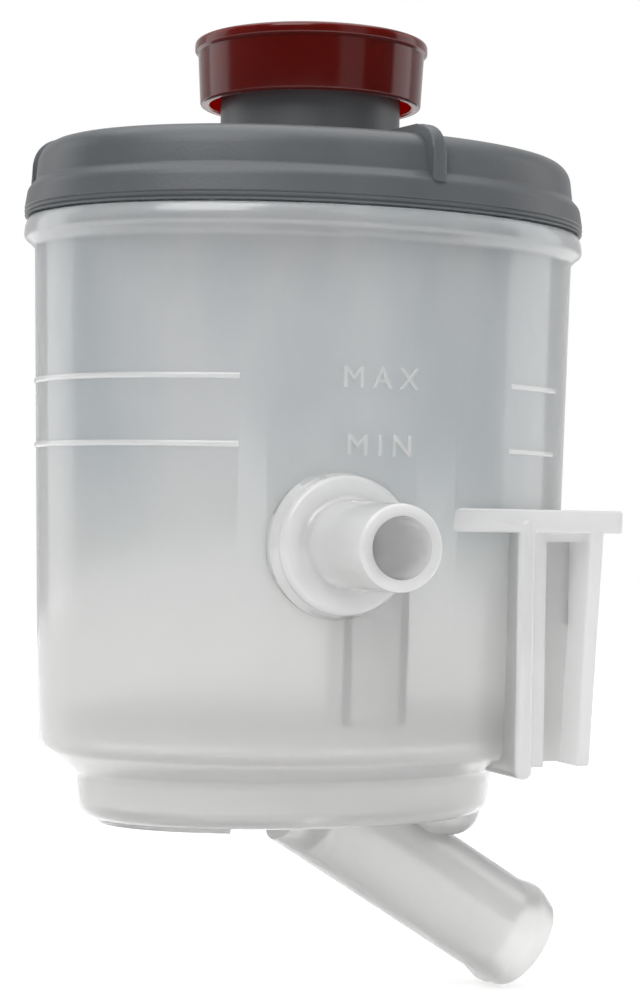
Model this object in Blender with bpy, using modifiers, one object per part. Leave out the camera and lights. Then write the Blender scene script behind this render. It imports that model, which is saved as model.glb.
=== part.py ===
"""Power steering fluid reservoir.

An oval moulded tank with a sump, a return port, an outlet pipe and a slide bracket,
closed by a welded lid whose filler neck takes a push-on cap. Metres, +Z up.
The tank is modelled round its own upright axis, with the welded seam at height 0 and
the return port towards -Y. The whole part hangs from the empty "reservoir", which puts
the seat of the bracket slot at the origin.
"""

import math

import bmesh
import bpy
from mathutils import Matrix, Vector

# Fits
GAP = 0.0003
SLIDE_GAP = 0.0004
OVERLAP = 0.0010
WELD_DISTANCE = 0.000005

# Facets
OVAL_SIDES = 56
TURN_STEPS = 40
PIPE_STEPS = 28
BORE_STEPS = 24
HOLE_STEPS = 10
ARC_STEPS = 4

# Tank body: an oval cup that narrows downwards
TANK_LENGTH = 0.0991
TANK_BREADTH = 0.0728
TANK_WALL = 0.0025
TANK_DRAFT = math.radians(1.3)
BODY_HEIGHT = 0.0922
BODY_CORNER = 0.0036

# Rim that the lid is welded to
RIM_PROUD = 0.0018
RIM_HEIGHT = 0.0036
RIM_CORNER = 0.0012

# Sump under the body
SUMP_INSET = 0.0110
SUMP_SHIFT = -0.0023
SHOULDER_DROP = 0.0045
SUMP_HEIGHT = 0.0080
SUMP_CORNER = 0.0034
SUMP_LEAN = 0.0008
LEDGE_CORNER = 0.0026
SUMP_PAD_LENGTH = 0.0185
SUMP_PAD_HEIGHT = 0.0008

# Raised level lines on the front wall, one pair for each height
LEVEL_HEIGHTS = (-0.0284, -0.0396)
LEVEL_LINE_HEIGHT = 0.0014
LEVEL_LINE_PROUD = 0.0004
LEVEL_SPANS = ((math.radians(-190), math.radians(-118)), (math.radians(-57), math.radians(-37)))
LEVEL_STEP = math.radians(5)

# Return port, straight out of the front wall
PORT_X = -0.0055
PORT_HEIGHT = -0.0560
PORT_LENGTH = 0.0240
PORT_ROOT_DIAMETER = 0.0148
PORT_TIP_DIAMETER = 0.0139
PORT_BORE = 0.0100
PORT_BOSS_DIAMETER = 0.0234
PORT_BOSS_HEIGHT = 0.0022
PORT_EDGE = 0.0007

# Duct inside the front wall that leads the return flow down to the body's floor
DUCT_WALL = 0.0015
DUCT_DEPTH = 0.0080
DUCT_LEFT = -0.0044
DUCT_RIGHT = 0.0074
DUCT_CLEARANCE = 0.0062
CHAMBER_SIDE = 0.0022

# Outlet pipe, slanting down out of the sump
PIPE_ANGLE = math.radians(32.6)
PIPE_AXIS_RISE = 0.0034
PIPE_END_X = 0.0450
PIPE_DIAMETER = 0.0189
PIPE_BORE = 0.0146
BEAD_DIAMETER = 0.0207
BEAD_LENGTH = 0.0075
PIPE_TIP_DIAMETER = 0.0180
PIPE_BORE_START = 0.0060
PIPE_ROOT_SIDE = 0.0005
PIPE_ROOT_INSET = 0.0026
PIPE_ROOT_LENGTH = 0.0150
PIPE_ROOT_DROP = 0.0043
PIPE_ROOT_ROUND = 0.0052
BEAD_FLAT = 0.0010

# Slide bracket on the right of the front wall: a slot that is open below
SLOT_WIDTH = 0.0084
SLOT_DEPTH = 0.0069
BRACKET_SETBACK = 0.0029
BRACKET_OUTER_INSET = 0.0061
BRACKET_WALL = 0.0025
BRACKET_LIP = 0.0021
BRACKET_TAPER = 0.0022
BRACKET_LENGTH = 0.0442
BRACKET_REACH = 0.0015
FLANGE_THICKNESS = 0.0040
FLANGE_PROUD = 0.0035
SLOT_CEILING = 0.0015
RIB_THICKNESS = 0.0031
RIB_DROP = 0.0021
RIB_ROUND = 0.0014
BRACKET_ROUND = 0.0005

# Lid, welded on the rim
LID_HEIGHT = 0.0135
LID_WALL = 0.0023
LID_FLANGE_HEIGHT = 0.0066
LID_STEP = 0.0019
LID_FLANGE_ROUND = 0.0030
LID_LEAN = 0.0007
LID_SHOULDER = 0.0042
LID_CROWN = 0.0005
SEAM_GROOVE = 0.0004

# Fins across the lid's shoulder
FIN_COUNT = 3
FIN_FIRST = math.radians(-75)
FIN_THICKNESS = 0.0028
FIN_RISE = 0.0015
FIN_PROUD = 0.0016
FIN_CORNER = 0.0050

# Filler neck
NECK_DIAMETER = 0.0322
NECK_BORE = 0.0270
NECK_TOP = 0.0306
NECK_BEAD = 0.0008
NECK_BEAD_HEIGHT = 0.0020
NECK_FOOT = 0.0010

# Cap, with a skirt round the neck and a plug in its bore
CAP_BOTTOM = 0.0221
CAP_THICKNESS = 0.0026
CAP_CROWN = 0.0010
CAP_LIP_DIAMETER = 0.0418
CAP_LIP_HEIGHT = 0.0018
CAP_TOP_DIAMETER = 0.0399
CAP_SKIRT_DIAMETER = 0.0393
CAP_SKIRT_WALL = 0.0017
CAP_EDGE = 0.0005
PLUG_CLEARANCE = 0.0006
PLUG_WALL = 0.0030
PLUG_LENGTH = 0.0130
SEAL_SECTION = 0.0022
SEAL_DEPTH = 0.0060

# Disc pressed into the plug's mouth, with vent slots
BAFFLE_THICKNESS = 0.0014
BAFFLE_HOLES = 6
BAFFLE_HOLE_DIAMETER = 0.0024
BAFFLE_HOLE_CIRCLE = 0.0120

# Strainer that lies on the body's sloping floor, over the sump
STRAINER_RIM = 0.0034
STRAINER_HEIGHT = 0.0030
STRAINER_BAR = 0.0022
STRAINER_LIP = 0.0014
SCREEN_THICKNESS = 0.0007
SCREEN_HOLE = 0.0030
SCREEN_PITCH = 0.0062

# Colours and finishes: red, green, blue, roughness
NATURAL_PLASTIC = (0.76, 0.78, 0.76, 0.32)
GREY_PLASTIC = (0.20, 0.21, 0.22, 0.45)
RED_PLASTIC = (0.36, 0.018, 0.014, 0.22)
BLACK_RUBBER = (0.02, 0.02, 0.02, 0.70)
WHITE_PLASTIC = (0.70, 0.70, 0.68, 0.45)
SCREEN_PLASTIC = (0.55, 0.56, 0.52, 0.60)

# Worked-out places
HALF_LENGTH = TANK_LENGTH / 2
HALF_BREADTH = TANK_BREADTH / 2
SUMP_TOP = -BODY_HEIGHT - SHOULDER_DROP
SUMP_FLOOR = SUMP_TOP - SUMP_HEIGHT
PIPE_AXIS_HEIGHT = SUMP_FLOOR + PIPE_AXIS_RISE
DUCT_BOTTOM = -BODY_HEIGHT + DUCT_CLEARANCE
BRACKET_BOTTOM = -BODY_HEIGHT - BRACKET_REACH
BRACKET_TOP = BRACKET_BOTTOM + BRACKET_LENGTH
BODY_INSET = BODY_HEIGHT * math.tan(TANK_DRAFT)
SHOULDER_SLOPE = math.atan2(SHOULDER_DROP, SUMP_INSET - BODY_INSET)
BRACKET_FRONT = -(HALF_BREADTH - BRACKET_SETBACK)
BRACKET_OUTER = HALF_LENGTH - BRACKET_OUTER_INSET
SLOT_RIGHT = BRACKET_OUTER - BRACKET_WALL
SLOT_LEFT = SLOT_RIGHT - SLOT_WIDTH
SLOT_SEAT = BRACKET_FRONT + SLOT_DEPTH
SLOT_TOP = BRACKET_TOP - FLANGE_THICKNESS - SLOT_CEILING
NECK_RADIUS = NECK_DIAMETER / 2
PLUG_RADIUS = NECK_BORE / 2 - PLUG_CLEARANCE
CAP_CEILING = NECK_TOP + GAP
PLUG_BOTTOM = CAP_CEILING - PLUG_LENGTH
MOUNT_POINT = Vector(((SLOT_LEFT + SLOT_RIGHT - BRACKET_TAPER / 2) / 2, SLOT_SEAT,
                      (SLOT_TOP + BRACKET_BOTTOM) / 2))


def clear_scene():
    """Start from an empty scene."""
    for thing in list(bpy.data.objects):
        bpy.data.objects.remove(thing, do_unlink=True)


def new_collection(name):
    """A collection linked to the scene."""
    group = bpy.data.collections.new(name)
    bpy.context.scene.collection.children.link(group)
    return group


def add_empty(name, location, parent=None):
    """An empty that carries other objects."""
    empty = bpy.data.objects.new(name, None)
    PARTS.objects.link(empty)
    empty.parent = parent
    empty.location = location
    return empty


def add_object(name, mesh, group=None):
    """An object made from a mesh, carried by the reservoir's empty."""
    thing = bpy.data.objects.new(name, mesh)
    (group or TOOLS).objects.link(thing)
    thing.parent = RESERVOIR
    if group is None:
        thing.hide_render = True
        thing.display_type = 'WIRE'
    return thing


def finish(thing, finish_values):
    """Own material from red, green, blue and roughness, and smooth round faces."""
    material = bpy.data.materials.new(thing.name + "_finish")
    material.use_nodes = True
    shader = material.node_tree.nodes["Principled BSDF"]
    shader.inputs["Base Color"].default_value = (*finish_values[:3], 1.0)
    shader.inputs["Roughness"].default_value = finish_values[3]
    shader.inputs["Metallic"].default_value = 0.0
    thing.data.materials.clear()
    thing.data.materials.append(material)
    thing.data.shade_smooth()
    thing.data.set_sharp_from_angle(angle=math.radians(35))


def boolean(thing, tool, operation):
    """Join a tool to an object, or cut it away."""
    step = thing.modifiers.new(operation.title() + "_" + tool.name, 'BOOLEAN')
    step.operation = operation
    step.object = tool
    step.solver = 'EXACT'


def weld(thing):
    """Merge the corners that a chain of Booleans leaves within a few micrometres."""
    merge = thing.modifiers.new("Weld", 'WELD')
    merge.merge_threshold = WELD_DISTANCE


def arc(centre, radius, start, end, steps=ARC_STEPS):
    """Points of an arc in a profile, angles in degrees from +X towards +Z."""
    points = []
    for step in range(steps + 1):
        angle = math.radians(start + (end - start) * step / steps)
        points.append((centre[0] + radius * math.cos(angle), centre[1] + radius * math.sin(angle)))
    return points


def corner(before, point, after, radius, steps=ARC_STEPS):
    """Round one corner of a profile with an arc that touches both of its sides."""
    to_before = (Vector(before) - Vector(point)).normalized()
    to_after = (Vector(after) - Vector(point)).normalized()
    half = to_before.angle(to_after) / 2
    reach = radius / math.tan(half)
    centre = Vector(point) + (to_before + to_after).normalized() * radius / math.sin(half)
    first = Vector(point) + to_before * reach - centre
    last = Vector(point) + to_after * reach - centre
    sweep = first.angle_signed(last)
    rounded = []
    for step in range(steps + 1):
        turn = Matrix.Rotation(-sweep * step / steps, 2)
        rounded.append(tuple(centre + turn @ first))
    return rounded


def oval_solid(name, profile, group=None):
    """Closed solid whose plan is the tank's oval at every height.

    A profile point gives how far the oval is drawn in, its height, and its shift along X.
    """
    mesh = bpy.data.meshes.new(name)
    solid = bmesh.new()
    rings = []
    for inset, height, shift in profile:
        ring = []
        for side in range(OVAL_SIDES):
            angle = 2 * math.pi * side / OVAL_SIDES
            x = (HALF_LENGTH - inset) * math.cos(angle) + shift
            y = (HALF_BREADTH - inset) * math.sin(angle)
            ring.append(solid.verts.new((x, y, height)))
        rings.append(ring)
    for upper, lower in zip(rings, rings[1:]):
        for side in range(OVAL_SIDES):
            following = (side + 1) % OVAL_SIDES
            solid.faces.new((upper[side], lower[side], lower[following], upper[following]))
    solid.faces.new(rings[0])
    solid.faces.new(list(reversed(rings[-1])))
    bmesh.ops.recalc_face_normals(solid, faces=solid.faces)
    solid.to_mesh(mesh)
    solid.free()
    return add_object(name, mesh, group)


def turned(name, profile, steps=TURN_STEPS, closed=False, group=None):
    """Turned solid from a profile of radius and height that runs down its outer side."""
    mesh = bpy.data.meshes.new(name)
    edges = [(index, index + 1) for index in range(len(profile) - 1)]
    if closed:
        edges.append((len(profile) - 1, 0))
    mesh.from_pydata([(radius, 0, height) for radius, height in profile], edges, [])
    thing = add_object(name, mesh, group)
    screw = thing.modifiers.new("Turn", 'SCREW')
    screw.steps = steps
    screw.render_steps = steps
    screw.use_merge_vertices = True
    screw.merge_threshold = 0.00001
    screw.use_smooth_shade = True
    return thing


def block(name, low, high, rounding=0.0, group=None):
    """Box between two corners, with rounded edges where asked."""
    mesh = bpy.data.meshes.new(name)
    solid = bmesh.new()
    bmesh.ops.create_cube(solid, size=1.0)
    size = [top - bottom for bottom, top in zip(low, high)]
    middle = [(top + bottom) / 2 for bottom, top in zip(low, high)]
    bmesh.ops.scale(solid, vec=size, verts=solid.verts)
    solid.to_mesh(mesh)
    solid.free()
    thing = add_object(name, mesh, group)
    thing.location = middle
    if rounding:
        bevel = thing.modifiers.new("Round", 'BEVEL')
        bevel.width = rounding
        bevel.segments = 2
    return thing


def plate(name, outline, thickness):
    """Flat plate of one outline, centred on its own plane."""
    curve = bpy.data.curves.new(name + "_outline", 'CURVE')
    curve.dimensions = '2D'
    curve.fill_mode = 'BOTH'
    curve.extrude = thickness / 2
    spline = curve.splines.new('POLY')
    spline.points.add(len(outline) - 1)
    for point, place in zip(spline.points, outline):
        point.co = (place[0], place[1], 0, 1)
    spline.use_cyclic_u = True
    sketch = add_object(name + "_sketch", curve)
    bpy.context.view_layer.update()
    evaluated = sketch.evaluated_get(bpy.context.evaluated_depsgraph_get())
    mesh = bpy.data.meshes.new_from_object(evaluated)
    solid = bmesh.new()
    solid.from_mesh(mesh)
    bmesh.ops.remove_doubles(solid, verts=solid.verts, dist=0.000001)
    solid.to_mesh(mesh)
    solid.free()
    bpy.data.objects.remove(sketch)
    return add_object(name, mesh)


def oval_radius(angle, inset):
    """Distance from the axis to the oval, along one direction."""
    along = math.cos(angle) / (HALF_LENGTH - inset)
    across = math.sin(angle) / (HALF_BREADTH - inset)
    return 1 / math.hypot(along, across)


def drafted_inset(height):
    """How far the tapering wall has come in at a height."""
    return -height * math.tan(TANK_DRAFT)


def tank_outside():
    """Outer form of the tank: rim, drafted wall, sloping shoulder and sump."""
    rim_foot = -RIM_HEIGHT - RIM_CORNER
    foot = (BODY_INSET, -BODY_HEIGHT)
    ledge = (SUMP_INSET, SUMP_TOP)
    floor = (SUMP_INSET + SUMP_LEAN, SUMP_FLOOR)
    centre = (HALF_BREADTH, SUMP_FLOOR)
    profile = [(-RIM_PROUD, 0.0)]
    profile += corner((-RIM_PROUD, 0.0), (-RIM_PROUD, -RIM_HEIGHT), (RIM_PROUD, rim_foot), RIM_CORNER, 2)
    profile.append((drafted_inset(rim_foot), rim_foot))
    wall_corner = corner((0.0, 0.0), foot, ledge, BODY_CORNER)
    ledge_corner = corner(foot, ledge, floor, LEDGE_CORNER)
    floor_corner = corner(ledge, floor, centre, SUMP_CORNER)
    profile += wall_corner
    upper = [(inset, height, 0.0) for inset, height in profile]
    lower = [(inset, height, SUMP_SHIFT) for inset, height in ledge_corner + floor_corner]
    return oval_solid("tank", upper + lower, PARTS)


def tank_cavity():
    """Space inside the tank, one wall thickness in from the outer form."""
    drop = TANK_WALL * math.tan((math.pi / 2 - SHOULDER_SLOPE) / 2)
    rise = TANK_WALL / math.cos(SHOULDER_SLOPE) - TANK_WALL * math.tan(SHOULDER_SLOPE)
    foot = (BODY_INSET + TANK_WALL, -BODY_HEIGHT + drop)
    ledge = (SUMP_INSET + TANK_WALL, SUMP_TOP + rise)
    floor = (SUMP_INSET + SUMP_LEAN + TANK_WALL, SUMP_FLOOR + TANK_WALL)
    centre = (HALF_BREADTH, SUMP_FLOOR + TANK_WALL)
    top = (TANK_WALL, 0.0)
    profile = [(TANK_WALL - drafted_inset(-OVERLAP), OVERLAP)]
    profile += corner(top, foot, ledge, BODY_CORNER, 2)
    upper = [(inset, height, 0.0) for inset, height in profile]
    lower = corner(foot, ledge, floor, BODY_CORNER, 2) + corner(ledge, floor, centre, SUMP_CORNER / 2, 2)
    return oval_solid("tank_cavity", upper + [(inset, height, SUMP_SHIFT) for inset, height in lower])


def level_line(name, height, start, end):
    """Raised line that follows the tank's wall between two angles."""
    steps = round((end - start) / LEVEL_STEP)
    mesh = bpy.data.meshes.new(name)
    solid = bmesh.new()
    sections = []
    for step in range(steps + 1):
        angle = start + (end - start) * step / steps
        section = []
        for side, proud in ((1, -TANK_WALL / 2), (1, LEVEL_LINE_PROUD), (-1, LEVEL_LINE_PROUD),
                            (-1, -TANK_WALL / 2)):
            level = height + side * LEVEL_LINE_HEIGHT / 2
            inset = drafted_inset(height) - proud
            x = (HALF_LENGTH - inset) * math.cos(angle)
            y = (HALF_BREADTH - inset) * math.sin(angle)
            section.append(solid.verts.new((x, y, level)))
        sections.append(section)
    for near, far in zip(sections, sections[1:]):
        for index in range(4):
            following = (index + 1) % 4
            solid.faces.new((near[index], near[following], far[following], far[index]))
    solid.faces.new(sections[0])
    solid.faces.new(sections[-1])
    bmesh.ops.recalc_face_normals(solid, faces=solid.faces)
    solid.to_mesh(mesh)
    solid.free()
    return add_object(name, mesh)


def port_tool(name, profile, steps):
    """Turned tool on the return port's axis, with height measured forward from the tank's axis."""
    tool = turned(name, profile, steps)
    tool.location = (PORT_X, 0, PORT_HEIGHT)
    tool.rotation_euler = (math.radians(90), 0, 0)
    return tool


def return_port():
    """Port with its round boss, and its bore."""
    wall = HALF_BREADTH - drafted_inset(PORT_HEIGHT)
    tip = HALF_BREADTH + PORT_LENGTH
    boss = wall + PORT_BOSS_HEIGHT
    boss_radius = PORT_BOSS_DIAMETER / 2
    root_radius = PORT_ROOT_DIAMETER / 2
    tip_radius = PORT_TIP_DIAMETER / 2
    start = wall - TANK_WALL
    edge = PORT_BOSS_HEIGHT / 2
    profile = [(0, tip), (tip_radius - PORT_EDGE, tip)]
    profile += arc((tip_radius - PORT_EDGE, tip - PORT_EDGE), PORT_EDGE, 60, 0, 2)
    profile += [(root_radius, boss + edge), (root_radius + edge / 2, boss + edge / 4)]
    profile += arc((boss_radius - edge, boss - edge), edge, 90, 0, 3)
    profile += [(boss_radius, start), (0, start)]
    bore_radius = PORT_BORE / 2
    bore = [(0, tip + OVERLAP), (bore_radius, tip + OVERLAP), (bore_radius, start - OVERLAP),
            (0, start - OVERLAP)]
    return port_tool("port_outside", profile, PIPE_STEPS), port_tool("port_bore", bore, BORE_STEPS)


def return_duct():
    """Box duct on the inside of the front wall, with a chamber behind the port."""
    back = -(HALF_BREADTH - drafted_inset(DUCT_BOTTOM)) + TANK_WALL + DUCT_DEPTH
    front = -HALF_BREADTH + TANK_WALL / 2
    half_chamber = PORT_BORE / 2 + CHAMBER_SIDE
    chamber_left = PORT_X - half_chamber
    chamber_top = PORT_HEIGHT + half_chamber
    chamber_bottom = PORT_HEIGHT - half_chamber
    chamber = block("duct_chamber", (chamber_left, front, chamber_bottom),
                    (DUCT_RIGHT, back, chamber_top))
    column = block("duct_column", (DUCT_LEFT, front, DUCT_BOTTOM),
                   (DUCT_RIGHT - OVERLAP / 4, back - OVERLAP / 4, chamber_bottom + OVERLAP))
    inner_back = back - DUCT_WALL
    chamber_space = block("duct_chamber_space",
                          (chamber_left + DUCT_WALL, front, chamber_bottom + DUCT_WALL),
                          (DUCT_RIGHT - DUCT_WALL, inner_back, chamber_top - DUCT_WALL))
    column_space = block("duct_column_space", (DUCT_LEFT + DUCT_WALL, front, DUCT_BOTTOM - OVERLAP),
                         (DUCT_RIGHT - DUCT_WALL - OVERLAP / 4, inner_back - OVERLAP / 4,
                          chamber_bottom + 2 * DUCT_WALL))
    boolean(chamber, column, 'UNION')
    boolean(chamber, chamber_space, 'DIFFERENCE')
    boolean(chamber, column_space, 'DIFFERENCE')
    envelope = tank_envelope()
    boolean(chamber, envelope, 'INTERSECT')
    return chamber


def tank_envelope():
    """The space that the duct may fill: the cavity with half of the wall added."""
    profile = []
    for height in (0.0, -BODY_HEIGHT + BODY_CORNER):
        profile.append((drafted_inset(height) + TANK_WALL / 2, height, 0.0))
    return oval_solid("duct_envelope", profile)


def pipe_tool(name, profile, steps):
    """Turned tool on the outlet pipe's axis, with height measured from the pipe's end."""
    tool = turned(name, profile, steps)
    end_height = PIPE_AXIS_HEIGHT - PIPE_END_X * math.tan(PIPE_ANGLE)
    tool.location = (PIPE_END_X, 0, end_height)
    tool.rotation_euler = (0, math.radians(90) + PIPE_ANGLE, 0)
    return tool


def outlet_pipe():
    """Hose pipe with a bead near its end, and its bore."""
    length = PIPE_END_X / math.cos(PIPE_ANGLE)
    radius = PIPE_DIAMETER / 2
    bead = BEAD_DIAMETER / 2
    tip = PIPE_TIP_DIAMETER / 2
    middle = -BEAD_LENGTH / 2
    profile = [(0, 0), (tip - PORT_EDGE, 0), (tip, -PORT_EDGE), (bead - PORT_EDGE / 2, middle + BEAD_FLAT)]
    profile += [(bead, middle + BEAD_FLAT / 2), (bead, middle - BEAD_FLAT / 2), (radius, -BEAD_LENGTH)]
    profile += [(radius, -length), (0, -length)]
    bore_radius = PIPE_BORE / 2
    bore_start = -length + PIPE_BORE_START
    bore = [(0, OVERLAP), (bore_radius, OVERLAP), (bore_radius, bore_start), (0, bore_start)]
    return pipe_tool("pipe_outside", profile, PIPE_STEPS), pipe_tool("pipe_bore", bore, BORE_STEPS)


def pipe_root():
    """Rounded web that fills the crotch between the sump's right end and the pipe."""
    right = HALF_LENGTH - SUMP_INSET + SUMP_SHIFT - PIPE_ROOT_INSET
    half = PIPE_DIAMETER / 2 - PIPE_ROOT_SIDE
    return block("pipe_root", (right - PIPE_ROOT_LENGTH, -half, SUMP_FLOOR - PIPE_ROOT_DROP),
                 (right, half, SUMP_TOP), PIPE_ROOT_ROUND)


def outer_plate():
    """Outer wall of the bracket, which leans in towards its lower end."""
    top = BRACKET_TOP - FLANGE_THICKNESS / 2
    wall = block("bracket_outer", (SLOT_RIGHT, BRACKET_FRONT, BRACKET_BOTTOM),
                 (BRACKET_OUTER, 0.0, top), BRACKET_ROUND)
    for vertex in wall.data.vertices:
        if vertex.co.z < 0:
            vertex.co.x -= BRACKET_TAPER
    return wall


def slide_bracket():
    """Pieces of the bracket: top flange, rounded rib, lip, web, outer wall and slot ceiling."""
    flange_bottom = BRACKET_TOP - FLANGE_THICKNESS
    behind = -HALF_BREADTH / 2
    rib_left = SLOT_LEFT - BRACKET_LIP - RIB_THICKNESS
    lip_front = BRACKET_FRONT + BRACKET_ROUND
    middle = flange_bottom + FLANGE_THICKNESS / 2
    flange = block("bracket_flange", (0.0, BRACKET_FRONT, flange_bottom),
                   (BRACKET_OUTER + FLANGE_PROUD, -HALF_BREADTH / 4, BRACKET_TOP), BRACKET_ROUND)
    rib = block("bracket_rib", (rib_left, BRACKET_FRONT - BRACKET_ROUND, BRACKET_BOTTOM - RIB_DROP),
                (rib_left + RIB_THICKNESS, behind, middle + BRACKET_ROUND), RIB_ROUND)
    lip = block("bracket_lip", (rib_left + RIB_THICKNESS / 2, lip_front, BRACKET_BOTTOM),
                (SLOT_LEFT, behind, middle))
    in_lip = SLOT_LEFT - BRACKET_LIP / 2
    in_wall = SLOT_RIGHT + BRACKET_WALL / 2
    web = block("bracket_web", (in_lip, SLOT_SEAT, BRACKET_BOTTOM + BRACKET_ROUND / 2),
                (in_wall - BRACKET_TAPER, SLOT_SEAT + BRACKET_WALL, middle - BRACKET_ROUND))
    ceiling = block("bracket_ceiling", (in_lip, lip_front + BRACKET_ROUND, SLOT_TOP),
                    (in_wall, SLOT_SEAT + BRACKET_WALL / 2, middle - BRACKET_ROUND / 2))
    return [flange, rib, lip, web, outer_plate(), ceiling]


def sump_pad():
    """Low pad under the left end of the sump."""
    left = SUMP_SHIFT - (HALF_LENGTH - SUMP_INSET)
    profile = []
    inset = SUMP_INSET + SUMP_LEAN + SUMP_CORNER
    for height in (SUMP_FLOOR + TANK_WALL / 2, SUMP_FLOOR - SUMP_PAD_HEIGHT):
        profile.append((inset, height, SUMP_SHIFT))
    pad = oval_solid("sump_pad", profile)
    reach = left + SUMP_CORNER + SUMP_PAD_LENGTH
    keep = block("sump_pad_limit", (left - OVERLAP, -HALF_BREADTH, SUMP_FLOOR - TANK_WALL),
                 (reach, HALF_BREADTH, SUMP_FLOOR + TANK_WALL))
    boolean(pad, keep, 'INTERSECT')
    return pad


def build_tank():
    """One moulding: body, sump, return port, outlet pipe, bracket and level lines."""
    tank = tank_outside()
    port, port_bore = return_port()
    pipe, pipe_bore = outlet_pipe()
    for tool in [port, pipe, pipe_root(), sump_pad()] + slide_bracket():
        boolean(tank, tool, 'UNION')
    for number, height in enumerate(LEVEL_HEIGHTS):
        for side, span in zip(("left", "right"), LEVEL_SPANS):
            line = level_line("level_line_{}_{}".format(side, number + 1), height, *span)
            boolean(tank, line, 'UNION')
    boolean(tank, tank_cavity(), 'DIFFERENCE')
    boolean(tank, return_duct(), 'UNION')
    boolean(tank, port_bore, 'DIFFERENCE')
    boolean(tank, pipe_bore, 'DIFFERENCE')
    weld(tank)
    finish(tank, NATURAL_PLASTIC)
    return tank


def lid_outside():
    """Outer form of the lid: flange with its seam groove, stepped-in body and shoulder."""
    edge = -RIM_PROUD
    wall_foot = edge + LID_STEP
    wall_top = (wall_foot + LID_LEAN, LID_HEIGHT)
    centre = (HALF_BREADTH, LID_HEIGHT)
    flange_top = (edge + LID_STEP / 3, LID_FLANGE_HEIGHT)
    profile = [(NECK_RADIUS, LID_HEIGHT + LID_CROWN), (LID_SHOULDER * 2, LID_HEIGHT)]
    profile += reversed(corner((wall_foot, LID_FLANGE_HEIGHT), wall_top, centre, LID_SHOULDER))
    profile.append((wall_foot, LID_FLANGE_HEIGHT + SEAM_GROOVE))
    profile += reversed(corner((edge, GAP), flange_top, (wall_foot, LID_FLANGE_HEIGHT + SEAM_GROOVE),
                               LID_FLANGE_ROUND))
    groove = GAP + 2 * SEAM_GROOVE
    profile += [(edge, groove + 2 * SEAM_GROOVE), (edge + SEAM_GROOVE, groove + SEAM_GROOVE),
                (edge, groove), (edge, GAP)]
    return oval_solid("lid", [(inset, height, 0.0) for inset, height in profile], PARTS)


def lid_cavity():
    """Space under the lid, as wide as the tank's mouth."""
    ceiling = LID_HEIGHT - LID_WALL
    side = TANK_WALL + LID_LEAN
    profile = [(HALF_BREADTH / 2, ceiling)]
    profile += reversed(corner((TANK_WALL, 0.0), (side, ceiling), (HALF_BREADTH / 2, ceiling),
                               LID_SHOULDER, 2))
    profile.append((TANK_WALL, -OVERLAP))
    return oval_solid("lid_cavity", [(inset, height, 0.0) for inset, height in profile])


def filler_neck():
    """Neck with a bead round its mouth, and its bore."""
    bead_radius = NECK_RADIUS + NECK_BEAD
    bead_low = NECK_TOP - NECK_BEAD_HEIGHT
    foot = LID_HEIGHT + LID_CROWN
    inside = LID_HEIGHT - LID_WALL / 2
    neck_profile = [(0, NECK_TOP), (bead_radius - NECK_BEAD, NECK_TOP), (bead_radius, NECK_TOP - NECK_BEAD),
                    (bead_radius, bead_low), (NECK_RADIUS, bead_low - NECK_BEAD),
                    (NECK_RADIUS, foot + NECK_FOOT), (NECK_RADIUS + NECK_FOOT / 3, foot + NECK_FOOT / 3),
                    (NECK_RADIUS + NECK_FOOT, foot), (NECK_RADIUS + NECK_FOOT, inside), (0, inside)]
    bore_radius = NECK_BORE / 2
    bore_profile = [(0, NECK_TOP + OVERLAP), (bore_radius, NECK_TOP + OVERLAP),
                    (bore_radius, inside - LID_WALL), (0, inside - LID_WALL)]
    return turned("neck_outside", neck_profile), turned("neck_bore", bore_profile)


def lid_fin(number):
    """Fin that runs from the neck across the top and down over the shoulder."""
    angle = FIN_FIRST + 2 * math.pi * number / FIN_COUNT
    wall_inset = LID_STEP - RIM_PROUD
    outer = oval_radius(angle, wall_inset) + FIN_PROUD
    inner = NECK_BORE / 2 + (NECK_RADIUS - NECK_BORE / 2) / 2
    top = LID_HEIGHT + FIN_RISE
    foot = LID_FLANGE_HEIGHT - SEAM_GROOVE
    outline = [(inner, foot), (outer, foot)]
    outline += corner((outer, foot), (outer - LID_LEAN, top), (inner, top), FIN_CORNER)
    outline.append((inner, top))
    fin = plate("lid_fin_{}".format(number + 1), outline, FIN_THICKNESS)
    fin.rotation_euler = (math.radians(90), 0, angle)
    return fin


def build_lid():
    """One moulding: shell, filler neck and fins."""
    lid = lid_outside()
    neck, neck_bore = filler_neck()
    boolean(lid, neck, 'UNION')
    for number in range(FIN_COUNT):
        boolean(lid, lid_fin(number), 'UNION')
    boolean(lid, lid_cavity(), 'DIFFERENCE')
    boolean(lid, neck_bore, 'DIFFERENCE')
    finish(lid, GREY_PLASTIC)
    return lid


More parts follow.
